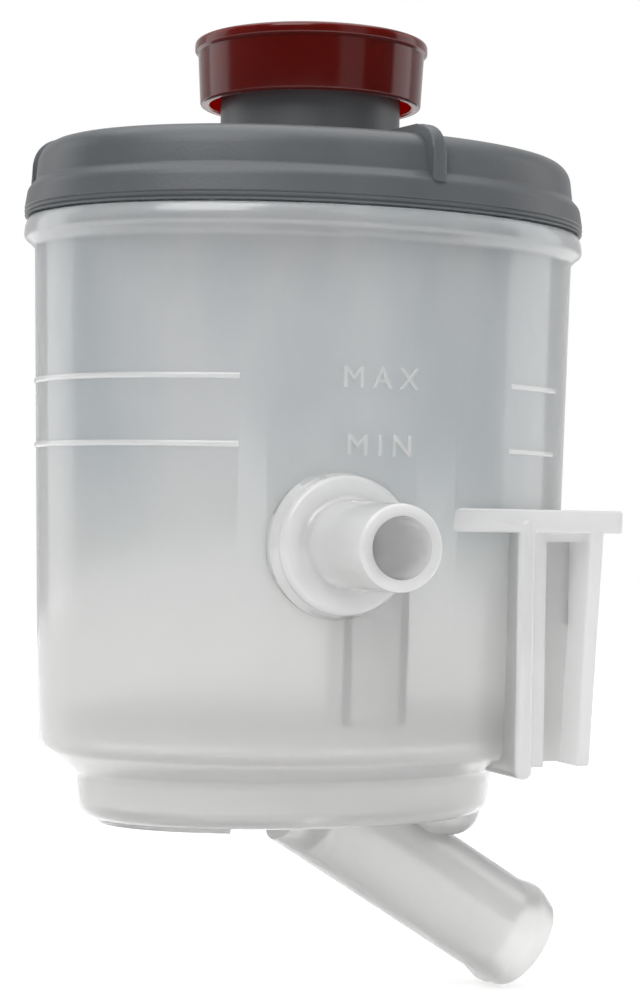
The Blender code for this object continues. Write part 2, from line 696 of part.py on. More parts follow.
def build_cap():
    """Push-on cap: crowned top with a lip, a skirt round the neck and a plug with a seal groove."""
    top = CAP_CEILING + CAP_THICKNESS
    lip = CAP_LIP_DIAMETER / 2
    wall_top = CAP_TOP_DIAMETER / 2
    wall_low = CAP_SKIRT_DIAMETER / 2
    skirt_inner = wall_low - CAP_SKIRT_WALL
    groove_middle = CAP_CEILING - SEAL_DEPTH
    groove_half = SEAL_SECTION / 2 + GAP
    groove_radius = NECK_BORE / 2 - SEAL_SECTION - 2 * GAP
    profile = [(0, top + CAP_CROWN), (lip / 2, top + CAP_CROWN - CAP_CROWN / 4), (lip - CAP_EDGE, top)]
    profile += arc((lip - CAP_EDGE, top - CAP_EDGE), CAP_EDGE, 60, 0, 2)
    profile += [(lip, top - CAP_LIP_HEIGHT + CAP_EDGE), (lip - CAP_EDGE, top - CAP_LIP_HEIGHT)]
    profile += [(wall_top, top - CAP_LIP_HEIGHT), (wall_low, CAP_BOTTOM + CAP_EDGE)]
    profile += [(wall_low - CAP_EDGE, CAP_BOTTOM), (skirt_inner, CAP_BOTTOM), (skirt_inner, CAP_CEILING)]
    profile += [(PLUG_RADIUS, CAP_CEILING), (PLUG_RADIUS, groove_middle + groove_half)]
    profile += [(groove_radius, groove_middle + groove_half), (groove_radius, groove_middle - groove_half)]
    profile += [(PLUG_RADIUS, groove_middle - groove_half), (PLUG_RADIUS, PLUG_BOTTOM + CAP_EDGE)]
    profile += [(PLUG_RADIUS - CAP_EDGE, PLUG_BOTTOM), (PLUG_RADIUS - PLUG_WALL, PLUG_BOTTOM)]
    profile += [(PLUG_RADIUS - PLUG_WALL, CAP_CEILING), (0, CAP_CEILING)]
    cap = turned("cap", [(radius, height - CAP_BOTTOM) for radius, height in profile], group=PARTS)
    cap.location = (0, 0, CAP_BOTTOM)
    finish(cap, RED_PLASTIC)
    return cap


def build_cap_seal(cap):
    """Rubber ring in the plug's groove."""
    outer = NECK_BORE / 2 - GAP
    middle = outer - SEAL_SECTION / 2
    profile = arc((middle, 0), SEAL_SECTION / 2, 90, -225, 7)
    seal = turned("cap_seal", profile, closed=True, group=PARTS)
    seal.parent = cap
    seal.location = (0, 0, CAP_CEILING - SEAL_DEPTH - CAP_BOTTOM)
    finish(seal, BLACK_RUBBER)
    return seal


def build_cap_baffle(cap):
    """Disc in the plug's mouth, with a ring of vent holes."""
    radius = PLUG_RADIUS - PLUG_WALL - GAP
    half = BAFFLE_THICKNESS / 2
    profile = [(0, half), (radius, half), (radius, -half), (0, -half)]
    baffle = turned("cap_baffle", profile, group=PARTS)
    baffle.parent = cap
    baffle.location = (0, 0, PLUG_BOTTOM + BAFFLE_THICKNESS - CAP_BOTTOM)
    hole_radius = BAFFLE_HOLE_DIAMETER / 2
    circle = BAFFLE_HOLE_CIRCLE / 2
    hole_profile = [(0, OVERLAP), (hole_radius, OVERLAP), (hole_radius, -OVERLAP), (0, -OVERLAP)]
    for number in range(BAFFLE_HOLES):
        angle = 2 * math.pi * number / BAFFLE_HOLES
        hole = turned("baffle_hole_{}".format(number + 1), hole_profile, HOLE_STEPS)
        hole.parent = baffle
        hole.location = (circle * math.cos(angle), circle * math.sin(angle), 0)
        boolean(baffle, hole, 'DIFFERENCE')
    finish(baffle, WHITE_PLASTIC)
    return baffle


def strainer_levels():
    """Outer inset and foot height of the strainer's frame on the sloping floor."""
    outer = BODY_INSET + TANK_WALL + 2 * SLIDE_GAP
    line = -BODY_HEIGHT - (outer - BODY_INSET) * math.tan(SHOULDER_SLOPE)
    foot = line + TANK_WALL / math.cos(SHOULDER_SLOPE) + BODY_CORNER / 4 + GAP
    return outer, foot


def build_strainer_frame():
    """Oval frame with a cross of bars, and a rebate under it for the screen."""
    outer, foot = strainer_levels()
    top = foot + STRAINER_HEIGHT
    inner = outer + STRAINER_RIM
    frame = oval_solid("strainer_frame", [(outer, top, 0.0), (outer, foot, 0.0)], PARTS)
    window = oval_solid("strainer_window", [(inner, top + OVERLAP, 0.0), (inner, foot - OVERLAP, 0.0)])
    rebate_top = foot + SCREEN_THICKNESS + GAP
    rebate = oval_solid("strainer_rebate", [(inner - STRAINER_LIP, rebate_top, 0.0),
                                            (inner - STRAINER_LIP, foot - OVERLAP, 0.0)])
    reach = inner - STRAINER_RIM / 2
    long_bar = block("strainer_long_bar", (-HALF_LENGTH + reach, -STRAINER_BAR / 2, rebate_top),
                     (HALF_LENGTH - reach, STRAINER_BAR / 2, top - GAP))
    cross_bar = block("strainer_cross_bar", (-STRAINER_BAR / 2, -HALF_BREADTH + reach, rebate_top),
                      (STRAINER_BAR / 2, HALF_BREADTH - reach, top - 2 * GAP))
    boolean(frame, window, 'DIFFERENCE')
    boolean(frame, rebate, 'DIFFERENCE')
    boolean(frame, long_bar, 'UNION')
    boolean(frame, cross_bar, 'UNION')
    finish(frame, WHITE_PLASTIC)
    return frame


def build_strainer_screen():
    """Thin pierced screen in the frame's rebate."""
    outer, foot = strainer_levels()
    edge = outer + STRAINER_RIM - STRAINER_LIP + GAP
    top = foot + SCREEN_THICKNESS
    screen = oval_solid("strainer_screen", [(edge, top, 0.0), (edge, foot, 0.0)], PARTS)
    holes = bpy.data.meshes.new("screen_holes")
    solid = bmesh.new()
    margin = edge + SCREEN_HOLE
    columns = math.floor((HALF_LENGTH - margin) / SCREEN_PITCH)
    rows = math.floor((HALF_BREADTH - margin) / SCREEN_PITCH)
    for column in range(-columns, columns + 1):
        for row in range(-rows, rows + 1):
            x = column * SCREEN_PITCH
            y = row * SCREEN_PITCH
            if math.hypot(x / (HALF_LENGTH - margin), y / (HALF_BREADTH - margin)) > 1:
                continue
            place = Matrix.Translation((x, y, foot + SCREEN_THICKNESS / 2))
            grown = Matrix.Diagonal((SCREEN_HOLE, SCREEN_HOLE, 3 * SCREEN_THICKNESS, 1.0))
            bmesh.ops.create_cube(solid, size=1.0, matrix=place @ grown)
    solid.to_mesh(holes)
    solid.free()
    boolean(screen, add_object("screen_holes", holes), 'DIFFERENCE')
    finish(screen, SCREEN_PLASTIC)
    return screen


clear_scene()
PARTS = new_collection("power_steering_reservoir")
TOOLS = new_collection("cutters")
RESERVOIR = None
RESERVOIR = add_empty("reservoir", -MOUNT_POINT)
build_tank()
build_lid()
CAP = build_cap()
build_cap_seal(CAP)
build_cap_baffle(CAP)
build_strainer_frame()
build_strainer_screen()
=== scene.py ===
"""Looks of the power steering reservoir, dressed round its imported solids."""
import math

import bmesh
import bpy
from mathutils import Euler, Matrix, Vector


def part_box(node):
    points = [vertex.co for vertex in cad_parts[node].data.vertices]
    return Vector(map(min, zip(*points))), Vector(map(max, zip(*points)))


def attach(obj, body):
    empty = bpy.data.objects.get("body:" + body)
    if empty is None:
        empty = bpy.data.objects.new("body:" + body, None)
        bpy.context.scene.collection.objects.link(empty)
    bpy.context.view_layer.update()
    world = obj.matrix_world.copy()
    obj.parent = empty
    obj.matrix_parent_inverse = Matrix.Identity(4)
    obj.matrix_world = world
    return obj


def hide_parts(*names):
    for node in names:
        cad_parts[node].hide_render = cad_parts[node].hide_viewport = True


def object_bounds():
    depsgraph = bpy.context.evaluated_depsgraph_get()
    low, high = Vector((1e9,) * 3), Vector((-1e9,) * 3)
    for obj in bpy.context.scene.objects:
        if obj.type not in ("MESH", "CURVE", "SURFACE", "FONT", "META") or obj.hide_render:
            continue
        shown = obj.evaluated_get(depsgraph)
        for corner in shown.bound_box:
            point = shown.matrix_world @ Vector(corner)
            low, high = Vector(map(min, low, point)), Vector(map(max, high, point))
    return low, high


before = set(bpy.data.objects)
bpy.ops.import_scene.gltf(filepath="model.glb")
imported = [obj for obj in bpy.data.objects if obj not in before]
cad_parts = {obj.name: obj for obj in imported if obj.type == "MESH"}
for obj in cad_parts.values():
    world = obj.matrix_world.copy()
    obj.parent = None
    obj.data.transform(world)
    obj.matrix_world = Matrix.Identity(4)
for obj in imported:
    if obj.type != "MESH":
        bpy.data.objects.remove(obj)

solid_box = [list(corner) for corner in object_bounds()]

# Tank: one injection moulding in natural, milky plastic. An oval cup that narrows downwards,
# with a sump, a return port, a slanted outlet pipe and a bracket that slides on a blade.
# All of its heights are measured from the seam, and its places from the neck's axis.
cap_low, cap_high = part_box("cap")
seam_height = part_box("tank")[1][2]
SEAM_CENTRE = Vector(((cap_low[0] + cap_high[0]) / 2, (cap_low[1] + cap_high[1]) / 2, seam_height))

OVAL_SIDES = 224
ARC_STEPS = 8
HALF_LENGTH = 0.04955
HALF_BREADTH = 0.0364
WALL = 0.0025
DRAFT = math.tan(math.radians(1.3))
BODY_DEPTH = 0.0922
BODY_ROUND = 0.0036
RIM_PROUD = 0.0018
RIM_DEPTH = 0.0036
RIM_ROUND = 0.0012
RIM_BULGE = 0.0007
RIM_STRAIGHT = 0.7
RIM_RISES = (0, 0.15, 0.35, 0.6)
RIM_STEPS = 5
SUMP_INSET = 0.0110
SUMP_SHIFT = -0.0023
SUMP_LEAN = 0.0008
LEDGE_DROP = 0.0045
LEDGE_ROUND = 0.0026
SUMP_DEPTH = 0.0080
SUMP_ROUND = 0.0034
LEDGE = -BODY_DEPTH - LEDGE_DROP
FLOOR = LEDGE - SUMP_DEPTH


def place(mesh, name):
    """Object of a finished mesh, with its place in its mesh."""
    mesh.name = name
    piece = bpy.data.objects.new(name, mesh)
    bpy.context.scene.collection.objects.link(piece)
    return piece


def build(form, name, turn_outwards=True):
    """Object of a bmesh. The faces of a closed form are turned outwards."""
    if turn_outwards:
        bmesh.ops.recalc_face_normals(form, faces=form.faces)
    mesh = bpy.data.meshes.new(name)
    form.to_mesh(mesh)
    form.free()
    return place(mesh, name)


def rounded(before, point, after, radius, steps=ARC_STEPS):
    """One corner of a profile, rounded with an arc that touches both sides."""
    back = (Vector(before) - Vector(point)).normalized()
    ahead = (Vector(after) - Vector(point)).normalized()
    half = back.angle(ahead) / 2
    reach = radius / math.tan(half)
    centre = Vector(point) + (back + ahead).normalized() * radius / math.sin(half)
    first = Vector(point) + back * reach - centre
    sweep = first.angle_signed(Vector(point) + ahead * reach - centre)
    return [tuple(centre + Matrix.Rotation(-sweep * step / steps, 2) @ first) for step in range(steps + 1)]


def loft(name, profile):
    """Solid of oval rings; each profile point is an inset, a height and a shift along X."""
    form = bmesh.new()
    rings = []
    for inset, height, *shift in profile:
        ring = []
        for side in range(OVAL_SIDES):
            angle = math.tau * side / OVAL_SIDES
            x = (HALF_LENGTH - inset) * math.cos(angle) + sum(shift)
            y = (HALF_BREADTH - inset) * math.sin(angle)
            ring.append(form.verts.new(SEAM_CENTRE + Vector((x, y, height))))
        rings.append(ring)
    for upper, lower in zip(rings, rings[1:]):
        for side in range(OVAL_SIDES):
            after = (side + 1) % OVAL_SIDES
            form.faces.new((upper[side], lower[side], lower[after], upper[after]))
    form.faces.new(rings[0])
    form.faces.new(rings[-1])
    return build(form, name)


def inset_at(height):
    """How far the drafted wall has come in at a height."""
    return -height * DRAFT


def cup(name, wall, top):
    """Form of the tank at a depth of wall below its skin, down to the sump's floor."""
    slope = math.atan2(LEDGE_DROP, SUMP_INSET - inset_at(-BODY_DEPTH))
    foot = (inset_at(-BODY_DEPTH) + wall, -BODY_DEPTH + wall * math.tan((math.pi / 2 - slope) / 2))
    ledge = (SUMP_INSET + wall, LEDGE + wall / math.cos(slope) - wall * math.tan(slope))
    floor = (SUMP_INSET + SUMP_LEAN + wall, FLOOR + wall)
    centre = (HALF_BREADTH, FLOOR + wall)
    sides = top + rounded((wall, 0.0), foot, ledge, BODY_ROUND)
    sump = rounded(foot, ledge, floor, LEDGE_ROUND + wall / 2)
    sump += rounded(ledge, floor, centre, SUMP_ROUND - wall / 2)
    return loft(name, sides + [(inset, height, SUMP_SHIFT) for inset, height in sump])


rim_foot = -RIM_DEPTH - RIM_ROUND
wall_below = 3 * rim_foot
rim = [(-RIM_PROUD + RIM_BULGE * (1 - rise) ** 2, -RIM_DEPTH * RIM_STRAIGHT * rise) for rise in RIM_RISES]
rim += rounded((-RIM_PROUD, 0.0), (-RIM_PROUD, -RIM_DEPTH), (RIM_PROUD, rim_foot), RIM_ROUND, RIM_STEPS)
rim += rounded((-RIM_PROUD, -RIM_DEPTH), (inset_at(rim_foot), rim_foot),
               (inset_at(wall_below), wall_below), RIM_ROUND, RIM_STEPS)
tank = cup("tank_moulding", 0.0, rim)

# Return port: a short hose pipe on a round boss, moulded with the tank straight out of its
# front wall. The return hose is pushed over it and clamped.
TURN_STEPS = 72
PORT_X = -0.0055
PORT_HEIGHT = -0.0560
PORT_LENGTH = 0.0240
PORT_ROOT = 0.0074
PORT_TIP = 0.00695
PORT_BORE = 0.0050
BOSS_RADIUS = 0.0117
BOSS_PROUD = 0.0022
PORT_EDGE = 0.0007
PORT_FILLET = 0.0015
BOSS_ROUND = 0.0012
BOSS_FLARE = ((0.0, 0.0004), (0.0004, -0.0002), (0.0011, -0.0009))


def lathe(name, profile, centre, along=Vector((0, 0, 1)), steps=TURN_STEPS):
    """Solid turned round an axis; each profile point is a radius and a distance along the axis.

    A profile that ends on its first point gives a closed ring.
    """
    form = bmesh.new()
    turn = Vector((0, 0, 1)).rotation_difference(along).to_matrix()
    rings = []
    for radius, height in profile:
        if rings and (radius, height) == profile[0]:
            rings.append(rings[0])
            continue
        if radius == 0:
            rings.append([form.verts.new(centre + turn @ Vector((0, 0, height)))])
            continue
        ring = []
        for step in range(steps):
            angle = math.tau * (step + 0.5) / steps
            spot = Vector((radius * math.cos(angle), radius * math.sin(angle), height))
            ring.append(form.verts.new(centre + turn @ spot))
        rings.append(ring)
    for upper, lower in zip(rings, rings[1:]):
        for step in range(steps):
            after = (step + 1) % steps
            corners = [upper[step % len(upper)], lower[step % len(lower)],
                       lower[after % len(lower)], upper[after % len(upper)]]
            form.faces.new(list(dict.fromkeys(corners)))
    return build(form, name)


def combine(piece, tool, operation='UNION'):
    """Join a tool to a piece, or cut it away. The tool is used up."""
    step = piece.modifiers.new(operation, 'BOOLEAN')
    step.operation = operation
    step.object = tool
    step.solver = 'EXACT'
    view = bpy.context.evaluated_depsgraph_get()
    mesh = bpy.data.meshes.new_from_object(piece.evaluated_get(view))
    piece.modifiers.clear()
    piece.data = mesh
    bpy.data.objects.remove(tool)


port_wall = HALF_BREADTH - inset_at(PORT_HEIGHT)
port_tip = HALF_BREADTH + PORT_LENGTH
boss_face = port_wall + BOSS_PROUD
port_centre = SEAM_CENTRE + Vector((PORT_X, 0, PORT_HEIGHT))
FORWARD = Vector((0, -1, 0))
port_profile = [(0, port_tip), (PORT_BORE - PORT_EDGE, port_tip)]
port_profile += rounded((PORT_BORE, port_tip), (PORT_TIP, port_tip), (PORT_ROOT, boss_face), PORT_EDGE)
port_profile += rounded((PORT_TIP, port_tip), (PORT_ROOT, boss_face), (BOSS_RADIUS, boss_face), PORT_FILLET)
port_profile += rounded((PORT_ROOT, boss_face), (BOSS_RADIUS, boss_face), (BOSS_RADIUS, port_wall),
                        BOSS_ROUND)
port_profile += [(BOSS_RADIUS + spread, port_wall + rise) for spread, rise in BOSS_FLARE]
port_profile += [(port_profile[-1][0], port_wall - WALL), (0, port_wall - WALL)]
combine(tank, lathe("port", port_profile, port_centre, FORWARD))

# Outlet pipe: moulded with the tank, it slants down to the right out of the sump. A bead near
# its end holds the clamped hose, and a rounded web stiffens it.
PIPE_SLANT = math.radians(32.6)
PIPE_HEIGHT = -0.1013
PIPE_END_X = 0.0450
PIPE_RADIUS = 0.00945
PIPE_BORE = 0.0073
BEAD_RADIUS = 0.01035
BEAD_LENGTH = 0.0075
PIPE_TIP = 0.0090
BEAD_ROUND = 0.0040
BEAD_FALL = 0.0060
WEB_SETBACK = 0.0026
WEB_LENGTH = 0.0150
WEB_MARGIN = 0.0005
WEB_DROP = 0.0043
WEB_ROUND = 0.0052


def slab(name, low, high, rounding=0.0, segments=3):
    """Box between two corners, measured from the seam's centre, with rounded edges."""
    form = bmesh.new()
    bmesh.ops.create_cube(form, size=1.0)
    low, high = Vector(low), Vector(high)
    for vertex in form.verts:
        share = vertex.co + Vector((0.5, 0.5, 0.5))
        vertex.co = SEAM_CENTRE + Vector(a + (b - a) * part for a, b, part in zip(low, high, share))
    if rounding:
        bmesh.ops.bevel(form, geom=form.edges[:], offset=rounding, segments=segments, profile=0.5,
                        affect='EDGES')
    return build(form, name)


pipe_end = SEAM_CENTRE + Vector((PIPE_END_X, 0, PIPE_HEIGHT - PIPE_END_X * math.tan(PIPE_SLANT)))
OUTWARD = Vector((math.cos(PIPE_SLANT), 0, -math.sin(PIPE_SLANT)))
pipe_length = PIPE_END_X / math.cos(PIPE_SLANT)
bead_middle = -BEAD_LENGTH / 2
pipe_profile = [(0, 0)]
pipe_profile += rounded((0, 0), (PIPE_TIP, 0), (BEAD_RADIUS, bead_middle), PORT_EDGE)
pipe_profile += rounded((PIPE_TIP, 0), (BEAD_RADIUS, bead_middle), (PIPE_RADIUS, -BEAD_LENGTH), BEAD_ROUND)
pipe_profile += rounded((BEAD_RADIUS, bead_middle), (PIPE_RADIUS, -BEAD_LENGTH),
                        (PIPE_RADIUS, -pipe_length), BEAD_FALL)
pipe_profile += [(PIPE_RADIUS, -pipe_length), (0, -pipe_length)]
combine(tank, lathe("pipe", pipe_profile, pipe_end, OUTWARD))
web_right = HALF_LENGTH - SUMP_INSET + SUMP_SHIFT - WEB_SETBACK
combine(tank, slab("pipe_web", (web_right - WEB_LENGTH, -PIPE_RADIUS + WEB_MARGIN, FLOOR - WEB_DROP),
                   (web_right, PIPE_RADIUS - WEB_MARGIN, LEDGE), WEB_ROUND, 8))

# Slide bracket: moulded with the tank, it slides down over a blade of the vehicle's bracket.
# It has a top flange, a rounded rib, a lip, a web and an outer wall that leans in downwards.
BRACKET_FRONT = -(HALF_BREADTH - 0.0029)
BRACKET_OUTER = HALF_LENGTH - 0.0061
BRACKET_WALL = 0.0025
BRACKET_TOP = -0.0495
BRACKET_BOTTOM = -0.0937
BRACKET_TAPER = 0.0022
SLOT_RIGHT = BRACKET_OUTER - BRACKET_WALL
SLOT_LEFT = SLOT_RIGHT - 0.0084
SLOT_SEAT = BRACKET_FRONT + 0.0069
FLANGE = 0.0040
FLANGE_PROUD = 0.0035
LIP = 0.0021
RIB = 0.0031
EDGE = 0.0005
CEILING_DROP = 0.0015
RIB_DROP = 0.0021
RIB_ROUND = 0.0014
flange_under = BRACKET_TOP - FLANGE
slot_top = flange_under - CEILING_DROP
behind = -HALF_BREADTH / 2
rib_left = SLOT_LEFT - LIP - RIB
joint_height = flange_under + FLANGE / 2
in_lip = SLOT_LEFT - LIP / 2
in_wall = SLOT_RIGHT + BRACKET_WALL / 2
outer_wall = slab("bracket_outer", (SLOT_RIGHT, BRACKET_FRONT, BRACKET_BOTTOM),
                  (BRACKET_OUTER, 0.0, joint_height), EDGE)
for vertex in outer_wall.data.vertices:
    drop = (SEAM_CENTRE.z + joint_height - vertex.co.z) / (joint_height - BRACKET_BOTTOM)
    vertex.co.x -= BRACKET_TAPER * drop
for tool in (
        slab("bracket_flange", (0.0, BRACKET_FRONT, flange_under),
             (BRACKET_OUTER + FLANGE_PROUD, -HALF_BREADTH / 4, BRACKET_TOP), EDGE),
        slab("bracket_rib", (rib_left, BRACKET_FRONT - EDGE, BRACKET_BOTTOM - RIB_DROP),
             (rib_left + RIB, behind, joint_height + EDGE), RIB_ROUND, 6),
        slab("bracket_lip", (rib_left + RIB / 2, BRACKET_FRONT + EDGE, BRACKET_BOTTOM),
             (SLOT_LEFT, behind, joint_height)),
        slab("bracket_web", (in_lip, SLOT_SEAT, BRACKET_BOTTOM + EDGE / 2),
             (in_wall - BRACKET_TAPER, SLOT_SEAT + BRACKET_WALL, joint_height - EDGE)),
        outer_wall,
        slab("bracket_ceiling", (in_lip, BRACKET_FRONT + 2 * EDGE, slot_top),
             (in_wall, SLOT_SEAT + BRACKET_WALL / 2, joint_height - EDGE / 2))):
    combine(tank, tool)

# Pad: a thin flat step under the sump's left end, part of the tank's moulding, on which the
# mould's ejector pins push.
PAD_REACH = 0.0185
PAD_HEIGHT = 0.0008
PAD_FLARE = 0.0004
pad_inset = SUMP_INSET + SUMP_LEAN + SUMP_ROUND
pad_left = SUMP_SHIFT - (HALF_LENGTH - SUMP_INSET)
pad = loft("sump_pad", [(pad_inset - PAD_FLARE, FLOOR + WALL / 2, SUMP_SHIFT),
                        (pad_inset - PAD_FLARE, FLOOR, SUMP_SHIFT),
                        (pad_inset, FLOOR - PAD_HEIGHT, SUMP_SHIFT)])
combine(pad, slab("pad_limit", (pad_left - WALL, -HALF_BREADTH, FLOOR - WALL),
                  (pad_left + SUMP_ROUND + PAD_REACH, HALF_BREADTH, FLOOR + WALL)), 'INTERSECT')
combine(tank, pad)

# Level marks: low rounded bands that follow the wall, two for the full mark and two for the
# low one, with a plain raised word between them. All are part of the moulding.
LEVELS = {"MAX": -0.0284, "MIN": -0.0396}
LEVEL_SPANS = ((-190, -118), (-57, -37))
LEVEL_STEPS = 60
LINE_HALF = 0.0005
LINE_PROUD = 0.0003
WORD_SIZE = 0.0052
WORD_PLACE = 0.0004
WORD_PROUD = 0.00035
WORD_SPACING = 1.5
MERGE = 0.00001


def add_node(tree, kind, **values):
    """A node whose inputs or properties are set by name. A socket given as a value is linked."""
    node = tree.nodes.new(kind)
    for name, value in values.items():
        socket = node.inputs.get(name.replace("_", " "))
        if socket is None:
            setattr(node, name, value)
        elif isinstance(value, bpy.types.NodeSocket):
            tree.links.new(value, socket)
        else:
            socket.default_value = value
    return node


def calc(tree, operation, *values, vector=False):
    """Result of one sum on numbers and sockets."""
    node = add_node(tree, 'ShaderNodeVectorMath' if vector else 'ShaderNodeMath', operation=operation)
    for socket, value in zip(node.inputs, values):
        if isinstance(value, bpy.types.NodeSocket):
            tree.links.new(value, socket)
        else:
            socket.default_value = value
    return next(socket for socket in node.outputs if socket.enabled)


SOCKETS = {int: 'NodeSocketInt', float: 'NodeSocketFloat', bpy.types.Object: 'NodeSocketObject',
           bpy.types.Material: 'NodeSocketMaterial'}


def new_tree(name, **kinds):
    """Empty geometry tree with a named input for each of its sizes. Gives the tree and its inputs."""
    tree = bpy.data.node_groups.new(name, 'GeometryNodeTree')
    tree.interface.new_socket("Geometry", in_out='OUTPUT', socket_type='NodeSocketGeometry')
    for key, kind in {**kinds, "Material": bpy.types.Material}.items():
        tree.interface.new_socket(key.replace("_", " "), in_out='INPUT', socket_type=SOCKETS[kind])
    return tree, tree.nodes.new('NodeGroupInput').outputs


def end_tree(tree, sizes, shape):
    """Close a tree: real geometry with its material."""
    real = add_node(tree, 'GeometryNodeRealizeInstances', Geometry=shape)
    finished = add_node(tree, 'GeometryNodeSetMaterial', Geometry=real.outputs[0],
                        Material=sizes["Material"])
    tree.links.new(finished.outputs[0], tree.nodes.new('NodeGroupOutput').inputs[0])


def grow(name, tree, **sizes):
    """Plain object with the mesh that a tree makes from these sizes, set at the seam's centre."""
    piece = place(bpy.data.meshes.new(name), name)
    step = piece.modifiers.new(name, 'NODES')
    step.node_group = tree
    for item in tree.interface.items_tree:
        key = item.name.replace(" ", "_")
        if item.in_out == 'INPUT' and key in sizes:
            step[item.identifier] = sizes[key]
    view = bpy.context.evaluated_depsgraph_get()
    mesh = bpy.data.meshes.new_from_object(piece.evaluated_get(view))
    piece.modifiers.clear()
    piece.data = mesh
    mesh.transform(Matrix.Translation(SEAM_CENTRE))
    return piece


def oval_spot(tree, angle, half_length, half_breadth, height):
    """Point of an oval at an angle."""
    spot = add_node(tree, 'ShaderNodeCombineXYZ', Z=height,
                    X=calc(tree, 'MULTIPLY', half_length, calc(tree, 'COSINE', angle)),
                    Y=calc(tree, 'MULTIPLY', half_breadth, calc(tree, 'SINE', angle)))
    return spot.outputs[0]


band_tree, sizes = new_tree("wall_band", Half_Length=float, Half_Breadth=float, Height=float, Start=float,
                            End=float, Steps=int, Half_Height=float, Proud=float)
number = add_node(band_tree, 'GeometryNodeInputIndex').outputs[0]
share = calc(band_tree, 'DIVIDE', number, calc(band_tree, 'SUBTRACT', sizes["Steps"], 1.0))
turn = calc(band_tree, 'MULTIPLY_ADD', share, calc(band_tree, 'SUBTRACT', sizes["End"], sizes["Start"]),
            sizes["Start"])
points = add_node(band_tree, 'GeometryNodeMeshLine', Count=sizes["Steps"]).outputs[0]
points = add_node(band_tree, 'GeometryNodeSetPosition', Geometry=points,
                  Position=oval_spot(band_tree, turn, sizes["Half Length"], sizes["Half Breadth"],
                                     sizes["Height"])).outputs[0]
path = add_node(band_tree, 'GeometryNodeMeshToCurve', Mesh=points).outputs[0]
path = add_node(band_tree, 'GeometryNodeSetCurveNormal', Curve=path, mode='Z_UP').outputs[0]
section = add_node(band_tree, 'GeometryNodeCurvePrimitiveCircle', Resolution=16, Radius=1.0).outputs[0]
section_size = add_node(band_tree, 'ShaderNodeCombineXYZ', X=sizes["Proud"], Y=sizes["Half Height"], Z=1.0)
section = add_node(band_tree, 'GeometryNodeTransform', Geometry=section, Scale=section_size.outputs[0])
band = add_node(band_tree, 'GeometryNodeCurveToMesh', Curve=path, Profile_Curve=section.outputs[0],
                Fill_Caps=True)
end_tree(band_tree, sizes, band.outputs[0])


def raised_word(word, height):
    """Raised word on the front wall, as solid letters that follow the wall."""
    curve = bpy.data.curves.new(word, 'FONT')
    curve.body = word
    curve.size = WORD_SIZE
    curve.extrude = WORD_PROUD
    curve.space_character = WORD_SPACING
    curve.align_x = 'CENTER'
    curve.align_y = 'CENTER'
    letters = bpy.data.objects.new(word, curve)
    bpy.context.scene.collection.objects.link(letters)
    view = bpy.context.evaluated_depsgraph_get()
    mesh = bpy.data.meshes.new_from_object(letters.evaluated_get(view))
    bpy.data.objects.remove(letters)
    form = bmesh.new()
    form.from_mesh(mesh)
    bmesh.ops.remove_doubles(form, verts=form.verts, dist=MERGE)
    for vertex in form.verts:
        x = WORD_PLACE + vertex.co.x
        z = height + vertex.co.y
        wall = (HALF_BREADTH - inset_at(z)) * math.sqrt(1 - (x / (HALF_LENGTH - inset_at(z))) ** 2)
        vertex.co = SEAM_CENTRE + Vector((x, -wall - vertex.co.z, z))
    return build(form, word)


for word, level in LEVELS.items():
    for side, (start, end) in enumerate(LEVEL_SPANS):
        line = grow(f"level_line_{word}_{side}", band_tree, Half_Length=HALF_LENGTH - inset_at(level),
                    Half_Breadth=HALF_BREADTH - inset_at(level), Height=level, Start=math.radians(start),
                    End=math.radians(end), Steps=LEVEL_STEPS, Half_Height=LINE_HALF, Proud=LINE_PROUD)
        combine(tank, line)
    combine(tank, raised_word(word, level))

# Inside of the tank: the cavity, and the duct that leads the return flow down to the strainer.
# The duct is moulded on the front wall, with a chamber behind the port.
CUT_PAST = 0.001
DUCT_LEFT = -0.0044
DUCT_RIGHT = 0.0074
DUCT_BOTTOM = -0.0860
DUCT_WALL = 0.0015
DUCT_DEPTH = 0.0080
CHAMBER_ROOM = 0.0022
PIPE_BORE_STOP = 0.0060
BORE_SIDES = 64
combine(tank, cup("cavity", WALL, [(WALL, CUT_PAST)]), 'DIFFERENCE')
chamber_half = PORT_BORE + CHAMBER_ROOM
chamber_left = PORT_X - chamber_half
chamber_low = PORT_HEIGHT - chamber_half
chamber_high = PORT_HEIGHT + chamber_half
duct_back = -(HALF_BREADTH - inset_at(DUCT_BOTTOM)) + WALL + DUCT_DEPTH
duct_front = -HALF_BREADTH + WALL / 2
duct = slab("duct", (chamber_left, duct_front, chamber_low), (DUCT_RIGHT, duct_back, chamber_high))
combine(duct, slab("column", (DUCT_LEFT, duct_front, DUCT_BOTTOM),
                   (DUCT_RIGHT - EDGE / 2, duct_back - EDGE / 2, chamber_low + CUT_PAST)))
combine(duct, slab("chamber_space", (chamber_left + DUCT_WALL, duct_front, chamber_low + DUCT_WALL),
                   (DUCT_RIGHT - DUCT_WALL, duct_back - DUCT_WALL, chamber_high - DUCT_WALL)), 'DIFFERENCE')
combine(duct, slab("column_space", (DUCT_LEFT + DUCT_WALL, duct_front, DUCT_BOTTOM - CUT_PAST),
                   (DUCT_RIGHT - DUCT_WALL - EDGE / 2, duct_back - DUCT_WALL - EDGE / 2,
                    chamber_low + 2 * DUCT_WALL)), 'DIFFERENCE')
room_low = -BODY_DEPTH + BODY_ROUND
combine(duct, loft("duct_room", [(inset_at(0.0) + WALL / 2, 0.0),
                                 (inset_at(-BODY_DEPTH) + WALL / 2, room_low)]), 'INTERSECT')
combine(tank, duct)


